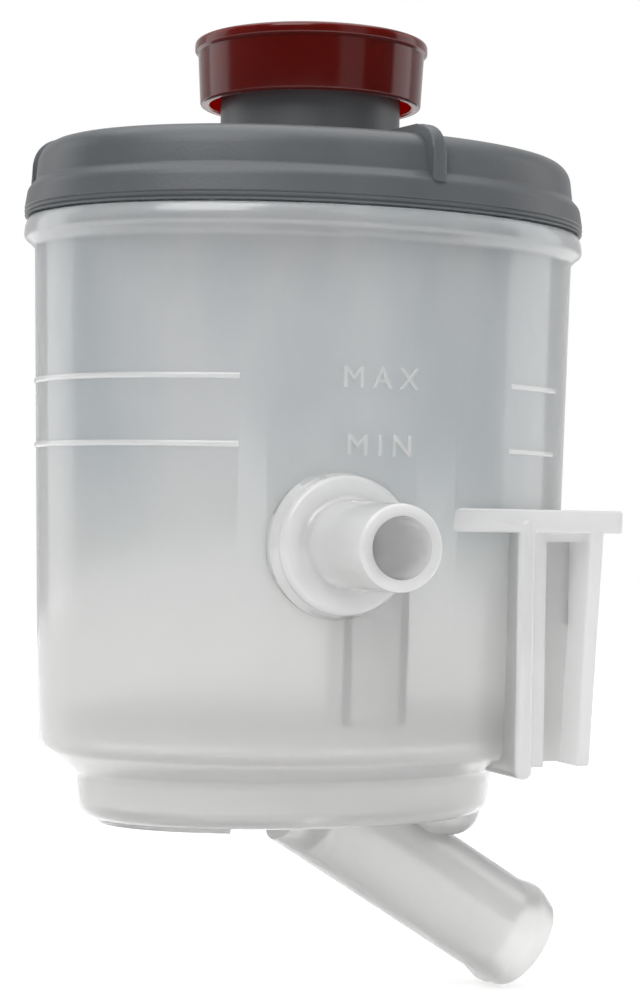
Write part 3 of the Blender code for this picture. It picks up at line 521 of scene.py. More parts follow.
def bored(piece, name, radius, low, high, centre, along=Vector((0, 0, 1)), steps=BORE_SIDES):
    """Cut a straight bore between two distances along an axis."""
    combine(piece, lathe(name, [(0, high), (radius, high), (radius, low), (0, low)], centre, along, steps),
            'DIFFERENCE')


bored(tank, "port_bore", PORT_BORE, port_wall - WALL - CUT_PAST, port_tip + CUT_PAST, port_centre, FORWARD)
bored(tank, "pipe_bore", PIPE_BORE, PIPE_BORE_STOP - pipe_length, CUT_PAST, pipe_end, OUTWARD)


# Surface of every moulding: a fine grain left by the tool, slow waves in the wall and
# patches of haze. One node group gives all three, and each plastic sets its own amounts.
WAVE_STRETCH = (1.0, 1.0, 0.55)
HAZE_STRETCH = (0.9, 1.1, 0.35)
HAZE_FROM = 0.38
HAZE_TO = 0.66


def moulded_surface():
    """Node group: place in metres in; height, roughness and haze out."""
    group = bpy.data.node_groups.new("moulded_surface", 'ShaderNodeTree')
    face = group.interface
    face.new_socket("Place", in_out='INPUT', socket_type='NodeSocketVector')
    for name, value in (("Grain Size", 0.0006), ("Grain Depth", 0.2), ("Wave Size", 0.022),
                        ("Wave Depth", 0.6), ("Smooth", 0.3), ("Rough", 0.45)):
        face.new_socket(name, in_out='INPUT', socket_type='NodeSocketFloat').default_value = value
    for name in ("Height", "Roughness", "Haze"):
        face.new_socket(name, in_out='OUTPUT', socket_type='NodeSocketFloat')
    entry = group.nodes.new('NodeGroupInput')
    leave = group.nodes.new('NodeGroupOutput')
    link = group.links.new

    def noise(size_name, detail, stretch=(1.0, 1.0, 1.0)):
        """Noise whose grain is as large as the named input."""
        return add_node(group, 'ShaderNodeTexNoise', Detail=detail,
                        Vector=calc(group, 'MULTIPLY', entry.outputs["Place"], stretch, vector=True),
                        Scale=calc(group, 'DIVIDE', 1.0, entry.outputs[size_name])).outputs["Fac"]

    fine = calc(group, 'MULTIPLY', noise("Grain Size", 2.0), entry.outputs["Grain Depth"])
    slow = noise("Wave Size", 1.0, WAVE_STRETCH)
    link(calc(group, 'MULTIPLY_ADD', slow, entry.outputs["Wave Depth"], fine), leave.inputs["Height"])
    patch = add_node(group, 'ShaderNodeMapRange', Value=noise("Wave Size", 5.0, HAZE_STRETCH),
                     From_Min=HAZE_FROM, From_Max=HAZE_TO).outputs["Result"]
    link(patch, leave.inputs["Haze"])
    spread = add_node(group, 'ShaderNodeMapRange', Value=patch, To_Min=entry.outputs["Smooth"],
                      To_Max=entry.outputs["Rough"])
    link(spread.outputs["Result"], leave.inputs["Roughness"])
    return group


MOULDED = moulded_surface()


def plastic(name, low_colour, high_colour, bump=0.0002, **surface):
    """Material on object coordinates whose haze runs between two colours."""
    material = bpy.data.materials.new(name)
    material.use_nodes = True
    tree = material.node_tree
    shader = tree.nodes["Principled BSDF"]
    where = add_node(tree, 'ShaderNodeTexCoord')
    group = add_node(tree, 'ShaderNodeGroup', node_tree=MOULDED)
    for key, value in surface.items():
        group.inputs[key.replace("_", " ")].default_value = value
    tree.links.new(where.outputs["Object"], group.inputs["Place"])
    tint = add_node(tree, 'ShaderNodeMix', data_type='RGBA')
    tint.inputs["A"].default_value = (*low_colour, 1.0)
    tint.inputs["B"].default_value = (*high_colour, 1.0)
    tree.links.new(group.outputs["Haze"], tint.inputs["Factor"])
    relief = add_node(tree, 'ShaderNodeBump', Distance=bump)
    tree.links.new(group.outputs["Height"], relief.inputs["Height"])
    tree.links.new(group.outputs["Roughness"], shader.inputs["Roughness"])
    tree.links.new(relief.outputs["Normal"], shader.inputs["Normal"])
    tree.links.new(tint.outputs["Result"], shader.inputs["Base Color"])
    return material


def fit_out(piece, material, slot, body, *nodes, angle=32):
    """Material, smooth faces and sharp edges of a finished piece; it hangs on its body, and the CAD nodes
    it replaces are hidden.
    """
    piece.data.materials.clear()
    piece.data.materials.append(material)
    piece.data.shade_smooth()
    piece.data.set_sharp_from_angle(angle=math.radians(angle))
    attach(piece, body)
    if nodes:
        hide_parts(*nodes)


# Natural plastic of the tank: milky and clear at once. It is colder high up and paler towards the
# floor, which is painted light from the white floor below, and white inside, which is painted
# light that fills the tank. Its thick parts let less of the light through and spread more of it.
NATURAL_DULL = (0.71, 0.745, 0.765)
NATURAL_PALE = (0.87, 0.88, 0.885)
NATURAL_CLEAR = 0.68
NATURAL_SPREAD = 0.004
THICK_DULL = (0.94, 0.94, 0.935)
THICK_PALE = (0.985, 0.985, 0.975)
THICK_CLEAR = 0.18
THICK_SPREAD = 0.012
PAINTED_FLOOR_LIGHT = (0.93, 0.93, 0.915)
PAINTED_FLOOR_LIGHT_FROM = -0.030
PAINTED_FLOOR_LIGHT_TO = -0.080
PAINTED_INSIDE_LIGHT = (0.985, 0.985, 0.98)
INSIDE_FROM = 0.93
INSIDE_TO = 0.88
INSIDE_DEPTH = -0.1


def milky(name, low_colour, high_colour, clear, depth):
    """Natural plastic that lets a share of the light through, and spreads the rest to a depth."""
    material = plastic(name, low_colour, high_colour, bump=0.00005, Grain_Depth=0.1, Smooth=0.29,
                       Rough=0.34)
    shader = material.node_tree.nodes["Principled BSDF"]
    for socket, value in (("Transmission Weight", clear), ("IOR", 1.5), ("Subsurface Weight", 1.0),
                          ("Subsurface Radius", (1.0, 1.0, 1.0)), ("Subsurface Scale", depth),
                          ("Coat Weight", 1.0), ("Coat Roughness", 0.07)):
        shader.inputs[socket].default_value = value
    return material


def seam_place(tree):
    """Place on a piece, measured from the seam's centre."""
    where = add_node(tree, 'ShaderNodeTexCoord')
    return calc(tree, 'SUBTRACT', where.outputs["Object"], SEAM_CENTRE, vector=True)


def tint_by(material, measure, colour, start, end):
    """Turn the material's colour into another one as a measure goes from start to end."""
    tree = material.node_tree
    base = tree.nodes["Principled BSDF"].inputs["Base Color"]
    fall = add_node(tree, 'ShaderNodeMapRange', interpolation_type='SMOOTHSTEP', Value=measure,
                    From_Min=start, From_Max=end)
    mix = add_node(tree, 'ShaderNodeMix', data_type='RGBA')
    tree.links.new(fall.outputs["Result"], mix.inputs["Factor"])
    tree.links.new(base.links[0].from_socket, mix.inputs["A"])
    mix.inputs["B"].default_value = (*colour, 1.0)
    tree.links.new(mix.outputs["Result"], base)


natural = milky("natural_plastic", NATURAL_DULL, NATURAL_PALE, NATURAL_CLEAR, NATURAL_SPREAD)
natural_thick = milky("natural_plastic_thick", THICK_DULL, THICK_PALE, THICK_CLEAR, THICK_SPREAD)
natural_tree = natural.node_tree
from_seam = seam_place(natural_tree)
height = add_node(natural_tree, 'ShaderNodeSeparateXYZ', Vector=from_seam).outputs["Z"]
# Paler towards the floor: painted light, for the light that the white floor throws up.
tint_by(natural, height, PAINTED_FLOOR_LIGHT, PAINTED_FLOOR_LIGHT_FROM, PAINTED_FLOOR_LIGHT_TO)
oval = calc(natural_tree, 'MULTIPLY', from_seam,
            (1 / (HALF_LENGTH - WALL / 2), 1 / (HALF_BREADTH - WALL / 2), 0), vector=True)
reach = calc(natural_tree, 'LENGTH', oval, vector=True)
inside = calc(natural_tree, 'MAXIMUM', reach, calc(natural_tree, 'DIVIDE', height, INSIDE_DEPTH))
# White on the inner faces: painted light, for the light that fills the tank.
tint_by(natural, inside, PAINTED_INSIDE_LIGHT, INSIDE_FROM, INSIDE_TO)
fit_out(tank, natural, "tank_plastic", "reservoir", "tank")
tank.data.materials.append(natural_thick)


def beyond_wall(spot, margin):
    """Whether a place lies more than a margin outside the body's wall."""
    inset = inset_at(spot.z) - margin
    return math.hypot(spot.x / (HALF_LENGTH - inset), spot.y / (HALF_BREADTH - inset)) > 1


def milky_or_lit_place(spot):
    """Whether a place on the tank takes the whiter plastic: the milkier port, bracket and level marks, the
    port's bore, where it is painted light, and the duct's back wall.
    """
    low_down = FLOOR < spot.z < LEVELS["MIN"] and beyond_wall(spot, LINE_PROUD * 2)
    by_marks = LEVELS["MIN"] - WORD_SIZE < spot.z < LEVELS["MAX"] + WORD_SIZE
    marks = by_marks and beyond_wall(spot, LINE_PROUD / 3)
    from_axis = math.hypot(spot.x - PORT_X, spot.z - PORT_HEIGHT)
    # The bore takes the whiter plastic as painted light, for the glow through the port's wall.
    bore = spot.y < 0 and from_axis < PORT_BORE + LINE_PROUD
    # The duct's back wall takes the whiter plastic, so that the column under the port looks lighter.
    duct_wall = (DUCT_LEFT - EDGE < spot.x < DUCT_RIGHT + EDGE
                 and duct_back - DUCT_WALL - EDGE < spot.y < duct_back + EDGE
                 and DUCT_BOTTOM - EDGE < spot.z < PORT_HEIGHT)
    return low_down or marks or bore or duct_wall


for face in tank.data.polygons:
    if milky_or_lit_place(face.center - SEAM_CENTRE):
        face.material_index = 1

# Strainer frame: a flat oval of white moulded plastic with a cross of bars, which carries the
# screen. It is pushed down on the body's floor and held there by its fit.
white_plastic = plastic("white_plastic", low_colour=(0.62, 0.62, 0.60), high_colour=(0.70, 0.70, 0.68),
                        Smooth=0.36, Rough=0.48)
frame_form = bmesh.new()
frame_form.from_mesh(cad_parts["strainer_frame"].data)
bmesh.ops.remove_doubles(frame_form, verts=frame_form.verts, dist=MERGE)
strainer = build(frame_form, "strainer", turn_outwards=False)
fit_out(strainer, white_plastic, "strainer_plastic", "reservoir", "strainer_frame")

# Strainer screen: fine plastic mesh of two crossing layers of threads in a flat band, which
# is welded in the frame's rebate and keeps dirt out of the sump.
SCREEN_BAND = 0.0020
SCREEN_PITCH = 0.0016
SCREEN_THREAD = 0.00032
SCREEN_LAYER = 0.9
screen_low, screen_high = (Vector(corner) - SEAM_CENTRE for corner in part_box("strainer_screen"))

screen_tree, sizes = new_tree("thread_screen", Half_Length=float, Half_Breadth=float, Pitch=float,
                              Thread=float, Band=float, Thickness=float, Height=float)


def threads(half_reach, half_span, across):
    """Straight threads at the pitch over an oval, each as long as the oval is there."""
    tree = screen_tree
    pitch = sizes["Pitch"]
    steps = calc(tree, 'FLOOR', calc(tree, 'DIVIDE', half_span, pitch))
    start = calc(tree, 'MULTIPLY', calc(tree, 'MULTIPLY', steps, pitch), -1.0)
    count = calc(tree, 'MULTIPLY_ADD', steps, 2.0, 1.0)
    spots = add_node(tree, 'GeometryNodeMeshLine', Count=count)
    for key, value in (("Start Location", start), ("Offset", pitch)):
        point = add_node(tree, 'ShaderNodeCombineXYZ', **{"X" if across else "Y": value})
        tree.links.new(point.outputs[0], spots.inputs[key])
    number = add_node(tree, 'GeometryNodeInputIndex').outputs[0]
    share = calc(tree, 'DIVIDE', calc(tree, 'MULTIPLY_ADD', number, pitch, start), half_span)
    chord = calc(tree, 'SQRT', calc(tree, 'SUBTRACT', 1.0, calc(tree, 'MULTIPLY', share, share)))
    size = add_node(tree, 'ShaderNodeCombineXYZ', Y=1.0, Z=1.0, X=calc(tree, 'MULTIPLY', half_reach, chord))
    single = add_node(tree, 'GeometryNodeCurvePrimitiveLine', Start=(-1.0, 0.0, 0.0), End=(1.0, 0.0, 0.0))
    laid = add_node(tree, 'GeometryNodeInstanceOnPoints', Points=spots.outputs[0],
                    Instance=single.outputs[0], Rotation=(0.0, 0.0, math.pi / 2 if across else 0.0),
                    Scale=size.outputs[0])
    real = add_node(tree, 'GeometryNodeRealizeInstances', Geometry=laid.outputs[0])
    radius = calc(tree, 'DIVIDE', sizes["Thread"], 2.0)
    section = add_node(tree, 'GeometryNodeCurvePrimitiveCircle', Resolution=6, Radius=radius)
    layer = add_node(tree, 'GeometryNodeCurveToMesh', Curve=real.outputs[0],
                     Profile_Curve=section.outputs[0], Fill_Caps=True)
    lift = calc(tree, 'MULTIPLY_ADD', radius, -SCREEN_LAYER if across else SCREEN_LAYER, sizes["Height"])
    lifted = add_node(tree, 'ShaderNodeCombineXYZ', Z=lift).outputs[0]
    return add_node(tree, 'GeometryNodeTransform', Geometry=layer.outputs[0], Translation=lifted).outputs[0]


half_band = calc(screen_tree, 'DIVIDE', sizes["Band"], 2.0)
inner_length = calc(screen_tree, 'SUBTRACT', sizes["Half Length"], half_band)
inner_breadth = calc(screen_tree, 'SUBTRACT', sizes["Half Breadth"], half_band)
oval_size = add_node(screen_tree, 'ShaderNodeCombineXYZ', X=inner_length, Y=inner_breadth, Z=1.0).outputs[0]
middle = add_node(screen_tree, 'ShaderNodeCombineXYZ', Z=sizes["Height"]).outputs[0]
ring = add_node(screen_tree, 'GeometryNodeCurvePrimitiveCircle', Resolution=128, Radius=1.0).outputs[0]
ring = add_node(screen_tree, 'GeometryNodeTransform', Geometry=ring, Scale=oval_size,
                Translation=middle).outputs[0]
ring = add_node(screen_tree, 'GeometryNodeSetCurveNormal', Curve=ring, mode='Z_UP').outputs[0]
section = add_node(screen_tree, 'GeometryNodeCurvePrimitiveQuadrilateral', Width=sizes["Band"],
                   Height=sizes["Thickness"]).outputs[0]
band = add_node(screen_tree, 'GeometryNodeCurveToMesh', Curve=ring, Profile_Curve=section).outputs[0]
whole = screen_tree.nodes.new('GeometryNodeJoinGeometry')
for shape in (threads(inner_length, inner_breadth, False), threads(inner_breadth, inner_length, True),
              band):
    screen_tree.links.new(shape, whole.inputs[0])
end_tree(screen_tree, sizes, whole.outputs[0])
mesh_plastic = plastic("mesh_plastic", low_colour=(0.50, 0.51, 0.48), high_colour=(0.60, 0.61, 0.58),
                       Smooth=0.38, Rough=0.50)
fit_out(grow("thread_screen", screen_tree, Half_Length=(screen_high.x - screen_low.x) / 2,
             Half_Breadth=(screen_high.y - screen_low.y) / 2, Pitch=SCREEN_PITCH, Thread=SCREEN_THREAD,
             Band=SCREEN_BAND, Thickness=screen_high.z - screen_low.z,
             Height=(screen_high.z + screen_low.z) / 2, Material=mesh_plastic),
        mesh_plastic, "screen_plastic", "reservoir", "strainer_screen")

# Lid: one injection moulding in grey plastic, welded on the tank's rim all round. A flange
# with a double bead at the seam, a stepped-in shoulder, three fins and the filler neck.
LID_HEIGHT = 0.0135
LID_WALL = 0.0023
LID_FLANGE = 0.0066
FLANGE_FACE = 0.0050
LID_STEP = 0.0019
LID_LEAN = 0.0007
LID_SHOULDER = 0.0042
LID_CROWN = 0.0005
VALLEY_ROUND = 0.0010
FLANGE_ROUND = 0.0022
SEAM_GAP = 0.0003
BEAD = 0.0004
BEAD_POINTS = ((4.0, 0.0), (3.3, 0.6), (2.6, 0.0), (2.0, 0.0), (1.3, 0.8), (0.6, 0.1), (0.0, 0.3))
NECK_RADIUS = 0.0161
NECK_BORE = 0.0135
NECK_TOP = 0.0306
NECK_LIP = 0.0008
NECK_LIP_DEPTH = 0.0020
NECK_LIP_FOOT = 0.0028
NECK_FILLET = 0.0012
FIN_COUNT = 3
FIN_FIRST = -75
FIN_THICKNESS = 0.0028
FIN_RISE = 0.0015
FIN_PROUD = 0.0017
FIN_ROUND = 0.0050
FIN_LENGTH = 0.0340
FIN_FOOT = 0.0048
FIN_EDGE = 0.0006
edge = -RIM_PROUD
lid_foot = edge + LID_STEP
lid_profile = [(HALF_BREADTH - NECK_RADIUS, LID_HEIGHT + LID_CROWN), (2 * LID_SHOULDER, LID_HEIGHT)]
lid_profile += reversed(rounded((lid_foot, LID_FLANGE), (lid_foot + LID_LEAN, LID_HEIGHT),
                                (HALF_BREADTH, LID_HEIGHT + LID_CROWN), LID_SHOULDER))
face_top = (edge + LID_STEP / 4, FLANGE_FACE)
lid_profile += rounded((lid_foot, LID_HEIGHT), (lid_foot, LID_FLANGE), face_top, VALLEY_ROUND)
lid_profile += rounded((lid_foot, LID_FLANGE), face_top, (edge, 3 * SEAM_GAP), FLANGE_ROUND)
lid_profile += [(edge + depth * BEAD, SEAM_GAP + rise * BEAD) for rise, depth in BEAD_POINTS]
lid = loft("lid_moulding", lid_profile)
neck_foot = LID_HEIGHT + LID_CROWN
neck_sunk = neck_foot - LID_WALL / 2
neck_lip = NECK_RADIUS + NECK_LIP
neck_profile = [(0, NECK_TOP)]
neck_profile += rounded((0, NECK_TOP), (neck_lip, NECK_TOP), (neck_lip, 0), NECK_LIP)
neck_profile += [(neck_lip, NECK_TOP - NECK_LIP_DEPTH), (NECK_RADIUS, NECK_TOP - NECK_LIP_FOOT)]
neck_profile += rounded((NECK_RADIUS, NECK_TOP), (NECK_RADIUS, neck_foot), (2 * NECK_RADIUS, neck_foot),
                        NECK_FILLET)
neck_profile += [(NECK_RADIUS + NECK_FILLET, neck_sunk), (0, neck_sunk)]
combine(lid, lathe("neck", neck_profile, SEAM_CENTRE))


def fin_form():
    """One fin with rounded edges, with its outer foot at the origin."""
    top = LID_HEIGHT + FIN_RISE
    foot = FIN_FOOT
    outline = [(-FIN_LENGTH, foot), (0.0, foot)]
    outline += rounded((0.0, foot), (-LID_LEAN, top), (-FIN_LENGTH, top), FIN_ROUND)
    outline.append((-FIN_LENGTH, top))
    form = bmesh.new()
    sides = [[form.verts.new((reach, side * FIN_THICKNESS / 2, height)) for reach, height in outline]
             for side in (-1, 1)]
    for index in range(len(outline)):
        after = (index + 1) % len(outline)
        form.faces.new((sides[0][index], sides[0][after], sides[1][after], sides[1][index]))
    form.faces.new(sides[0])
    form.faces.new(sides[1])
    outer = [line for line in form.edges if len({corner in sides[0] for corner in line.verts}) == 1]
    bmesh.ops.bevel(form, geom=outer, offset=FIN_EDGE, segments=3, profile=0.5, affect='EDGES')
    return build(form, "fin")


ring_tree, sizes = new_tree("set_round", Form=bpy.types.Object, Count=int, First=float, Half_Length=float,
                            Half_Breadth=float, Margin=float)
number = add_node(ring_tree, 'GeometryNodeInputIndex').outputs[0]
turn = calc(ring_tree, 'MULTIPLY_ADD', number, calc(ring_tree, 'DIVIDE', math.tau, sizes["Count"]),
            sizes["First"])
across = calc(ring_tree, 'DIVIDE', calc(ring_tree, 'COSINE', turn), sizes["Half Length"])
along = calc(ring_tree, 'DIVIDE', calc(ring_tree, 'SINE', turn), sizes["Half Breadth"])
both = calc(ring_tree, 'MULTIPLY_ADD', across, across, calc(ring_tree, 'MULTIPLY', along, along))
reach = calc(ring_tree, 'ADD', calc(ring_tree, 'INVERSE_SQRT', both), sizes["Margin"])
points = add_node(ring_tree, 'GeometryNodeMeshLine', Count=sizes["Count"]).outputs[0]
points = add_node(ring_tree, 'GeometryNodeSetPosition', Geometry=points,
                  Position=oval_spot(ring_tree, turn, reach, reach, 0.0)).outputs[0]
form = add_node(ring_tree, 'GeometryNodeObjectInfo', Object=sizes["Form"]).outputs["Geometry"]
copies = add_node(ring_tree, 'GeometryNodeInstanceOnPoints', Points=points, Instance=form,
                  Rotation=add_node(ring_tree, 'ShaderNodeCombineXYZ', Z=turn).outputs[0]).outputs[0]
end_tree(ring_tree, sizes, copies)
fin = fin_form()
combine(lid, grow("fins", ring_tree, Form=fin, Count=FIN_COUNT, First=math.radians(FIN_FIRST),
                  Half_Length=HALF_LENGTH, Half_Breadth=HALF_BREADTH,
                  Margin=RIM_PROUD - LID_STEP + FIN_PROUD))
bpy.data.objects.remove(fin)
under = LID_HEIGHT - LID_WALL
shoulder = rounded((WALL, 0), (WALL + LID_LEAN, under), (HALF_BREADTH / 2, under), LID_SHOULDER)
combine(lid, loft("lid_cavity", [(HALF_BREADTH / 2, under), *reversed(shoulder), (WALL, -CUT_PAST)]),
        'DIFFERENCE')
bored(lid, "neck_bore", NECK_BORE, under - CUT_PAST, NECK_TOP + CUT_PAST, SEAM_CENTRE, steps=TURN_STEPS)
grey = plastic("grey_plastic", low_colour=(0.092, 0.100, 0.107), high_colour=(0.114, 0.122, 0.130),
               Smooth=0.34, Rough=0.46)
fit_out(lid, grey, "lid_plastic", "reservoir", "lid")

# Cap: one injection moulding in glossy red plastic, pushed on the neck. It has a lip round its
# top, a skirt round the neck, and a plug under its ceiling that closes the neck's bore.
CAP_BOTTOM = 0.0221
CAP_CEILING = 0.0309
CAP_TOP = 0.0335
CAP_CROWN = 0.0010
CROWN_POINTS = ((0, 1.0), (1 / 3, 0.95), (0.5, 0.82), (0.75, 0.5))
CAP_EDGE = 0.0008
CAP_SIDES = 128
CAP_LIP = 0.0209
CAP_LIP_HEIGHT = 0.0018
CAP_LIP_FALL = 0.0003
CAP_LIP_ROUND = 0.0004
CAP_WALL_TOP = 0.0203
CAP_WALL_LOW = 0.0198
SKIRT_WALL = 0.0017
SKIRT_ROUND = 0.0005
SKIRT_EDGE = 0.0004
SMALL_STEPS = 4
PLUG_RADIUS = 0.0129
PLUG_WALL = 0.0030
PLUG_BOTTOM = 0.0179
GROOVE_FLOOR = 0.0107
GROOVE_TOP = 0.0263
GROOVE_BOTTOM = 0.0235
skirt_inside = CAP_WALL_LOW - SKIRT_WALL
plug_inside = PLUG_RADIUS - PLUG_WALL
lip_under = CAP_TOP - CAP_LIP_HEIGHT
cap_profile = [(CAP_LIP * share, CAP_TOP + CAP_CROWN * rise) for share, rise in CROWN_POINTS]
cap_profile += rounded(cap_profile[-1], (CAP_LIP, CAP_TOP), (CAP_LIP, 0), CAP_EDGE)
cap_profile += rounded((CAP_LIP, CAP_TOP), (CAP_LIP, lip_under), (CAP_WALL_TOP, lip_under - CAP_LIP_FALL),
                       CAP_LIP_ROUND, SMALL_STEPS)
cap_profile += [(CAP_WALL_TOP, lip_under - CAP_LIP_ROUND)]
cap_profile += rounded((CAP_WALL_TOP, CAP_TOP), (CAP_WALL_LOW, CAP_BOTTOM), (0, CAP_BOTTOM), SKIRT_ROUND,
                       SMALL_STEPS)
cap_profile += rounded((CAP_WALL_LOW, CAP_BOTTOM), (skirt_inside, CAP_BOTTOM), (skirt_inside, CAP_CEILING),
                       SKIRT_EDGE, SMALL_STEPS)
cap_profile += [(skirt_inside, CAP_CEILING), (PLUG_RADIUS, CAP_CEILING), (PLUG_RADIUS, GROOVE_TOP),
                (GROOVE_FLOOR, GROOVE_TOP), (GROOVE_FLOOR, GROOVE_BOTTOM), (PLUG_RADIUS, GROOVE_BOTTOM)]
cap_profile += rounded((PLUG_RADIUS, GROOVE_BOTTOM), (PLUG_RADIUS, PLUG_BOTTOM), (0, PLUG_BOTTOM),
                       SKIRT_ROUND, SMALL_STEPS)
cap_profile += [(plug_inside, PLUG_BOTTOM), (plug_inside, CAP_CEILING), (0, CAP_CEILING)]
cap = lathe("filler_cap", cap_profile, SEAM_CENTRE, steps=CAP_SIDES)

# Red plastic of the cap: glossy outside, and a deep red there that is partly its own colour and partly
# painted shade. Inside the skirt it is a brighter orange red, which is painted light for the light that
# the thin wall lets through.
RED_INSIDE = (0.80, 0.055, 0.012)
RED_THROUGH = 0.8
RED_REACH = (1.0, 0.12, 0.04)
RED_SPREAD = 0.006
# The outside colours are darker than the red plastic itself: painted shade.
red = plastic("red_plastic", low_colour=(0.100, 0.006, 0.004), high_colour=(0.120, 0.008, 0.006),
              bump=0.00003, Smooth=0.12, Rough=0.20)
red_tree = red.node_tree
from_seam = seam_place(red_tree)
sideways = calc(red_tree, 'MULTIPLY', from_seam, (1, 1, 0), vector=True)
from_axis = calc(red_tree, 'LENGTH', sideways, vector=True)
rise = add_node(red_tree, 'ShaderNodeSeparateXYZ', Vector=from_seam).outputs["Z"]
over = calc(red_tree, 'ADD', rise, skirt_inside - CAP_CEILING)
tint_by(red, calc(red_tree, 'MAXIMUM', from_axis, over), RED_INSIDE, skirt_inside + SKIRT_WALL / 2,
        skirt_inside + SKIRT_WALL / 4)
for socket, value in (("Subsurface Weight", RED_THROUGH), ("Subsurface Radius", RED_REACH),
                      ("Subsurface Scale", RED_SPREAD)):
    red_tree.nodes["Principled BSDF"].inputs[socket].default_value = value
fit_out(cap, red, "cap_plastic", "cap", "cap")

# Seal: a black rubber ring with a round section. It is stretched into the plug's groove, and
# the neck's bore keeps it in place.
SEAL_RADIUS = 0.0011
SEAL_HEIGHT = (GROOVE_TOP + GROOVE_BOTTOM) / 2
SEAL_ROOM = 0.0003
SEAL_STEPS = 24
SEAL_SIDES = 96
seal_middle = NECK_BORE - SEAL_ROOM - SEAL_RADIUS
seal_turns = [math.tau * step / SEAL_STEPS for step in range(SEAL_STEPS)]
seal_profile = [(seal_middle + SEAL_RADIUS * math.cos(turn), SEAL_HEIGHT + SEAL_RADIUS * math.sin(turn))
                for turn in seal_turns]
seal = lathe("seal_ring", seal_profile + seal_profile[:1], SEAM_CENTRE, steps=SEAL_SIDES)
rubber = plastic("seal_rubber", low_colour=(0.018, 0.018, 0.019), high_colour=(0.028, 0.028, 0.029),
                 Smooth=0.55, Rough=0.75)
fit_out(seal, rubber, "seal_rubber", "cap", "cap_seal")

# Baffle: a white moulded disc pressed into the plug's mouth. It holds back splashes, and its
# ring of small holes lets air through to the cap.
BAFFLE_RADIUS = 0.0096
BAFFLE_BOTTOM = 0.0186
BAFFLE_TOP = 0.0200
BAFFLE_EDGE = 0.0003
VENT_COUNT = 6
VENT_RADIUS = 0.0012
VENT_CIRCLE = 0.0060
VENT_SIDES = 24
vent_high = BAFFLE_TOP + CUT_PAST
vent_low = BAFFLE_BOTTOM - CUT_PAST
baffle_profile = [(0, BAFFLE_TOP)]
baffle_profile += rounded((0, BAFFLE_TOP), (BAFFLE_RADIUS, BAFFLE_TOP), (BAFFLE_RADIUS, 0), BAFFLE_EDGE,
                          SMALL_STEPS)
baffle_profile += rounded((BAFFLE_RADIUS, BAFFLE_TOP), (BAFFLE_RADIUS, BAFFLE_BOTTOM), (0, BAFFLE_BOTTOM),
                          BAFFLE_EDGE, SMALL_STEPS)
baffle_profile += [(0, BAFFLE_BOTTOM)]
baffle = lathe("baffle_disc", baffle_profile, SEAM_CENTRE)
vent = lathe("vent", [(0, vent_high), (VENT_RADIUS, vent_high), (VENT_RADIUS, vent_low), (0, vent_low)],
             Vector(), steps=VENT_SIDES)
combine(baffle, grow("vents", ring_tree, Form=vent, Count=VENT_COUNT, First=0.0,
                     Half_Length=VENT_CIRCLE, Half_Breadth=VENT_CIRCLE, Margin=0.0), 'DIFFERENCE')
bpy.data.objects.remove(vent)
fit_out(baffle, white_plastic, "baffle_plastic", "cap", "cap_baffle")

# Camera at the photograph's place: level, turned a little to the left of the front, with a long
# lens. Its picture is shifted so that the part stands where it does in the photograph.
CAMERA_TURN = math.radians(-20)
CAMERA_ROLL = math.radians(1.0)
CAMERA_DISTANCE = 0.422
CAMERA_DROP = 0.0513
CAMERA_LENS = 84.2
CAMERA_SENSOR = 36
CAMERA_SHIFT = (0.0168, 0.015)
camera_data = bpy.data.cameras.new("camera")
camera_data.sensor_width = CAMERA_SENSOR
camera_data.lens = CAMERA_LENS
camera_data.shift_x, camera_data.shift_y = CAMERA_SHIFT
camera = bpy.data.objects.new("camera", camera_data)
bpy.context.scene.collection.objects.link(camera)
sight = Vector((-math.sin(CAMERA_TURN), math.cos(CAMERA_TURN), 0))
eye = SEAM_CENTRE - Vector((0, 0, CAMERA_DROP)) - sight * CAMERA_DISTANCE
level_turn = Euler((math.radians(90), 0, CAMERA_TURN)).to_matrix().to_4x4()
camera.matrix_world = Matrix.Translation(eye) @ level_turn @ Matrix.Rotation(CAMERA_ROLL, 4, 'Z')
bpy.context.scene.camera = camera

# Floor and background: a pale floor under the part that keeps its shadow, and white all round.
# Both shine white for the camera, gloss and clear walls, and give the part a plain soft light.
WHITE = (1.0, 1.0, 1.0, 1.0)
FLOOR_PAINT = (0.8, 0.8, 0.8, 1.0)
FLOOR_ROUGHNESS = 0.9
FLOOR_GLOSS = 0.1
FLOOR_GLOW = 0.53
FLOOR_HALF = 3.0
FLOOR_GAP = 0.0005
SKY_LIGHT = 0.55
floor_height = solid_box[0][2] - FLOOR_GAP


def seen_directly(tree):
    """1 for a ray that comes from the camera, a gloss or a clear wall, and 0 for the rest."""
    ray = add_node(tree, 'ShaderNodeLightPath').outputs
    seen = calc(tree, 'MAXIMUM', ray["Is Camera Ray"], ray["Is Glossy Ray"])
    return calc(tree, 'MAXIMUM', seen, ray["Is Transmission Ray"])


def stage_paint(name, colour, gloss):
    """Material of a stage piece that shines white. Gives it with its tree and its shader."""
    paint = bpy.data.materials.new(name)
    paint.use_nodes = True
    shader = paint.node_tree.nodes["Principled BSDF"]
    shader.inputs["Base Color"].default_value = colour
    shader.inputs["Specular IOR Level"].default_value = gloss
    shader.inputs["Emission Color"].default_value = WHITE
    return paint, paint.node_tree, shader


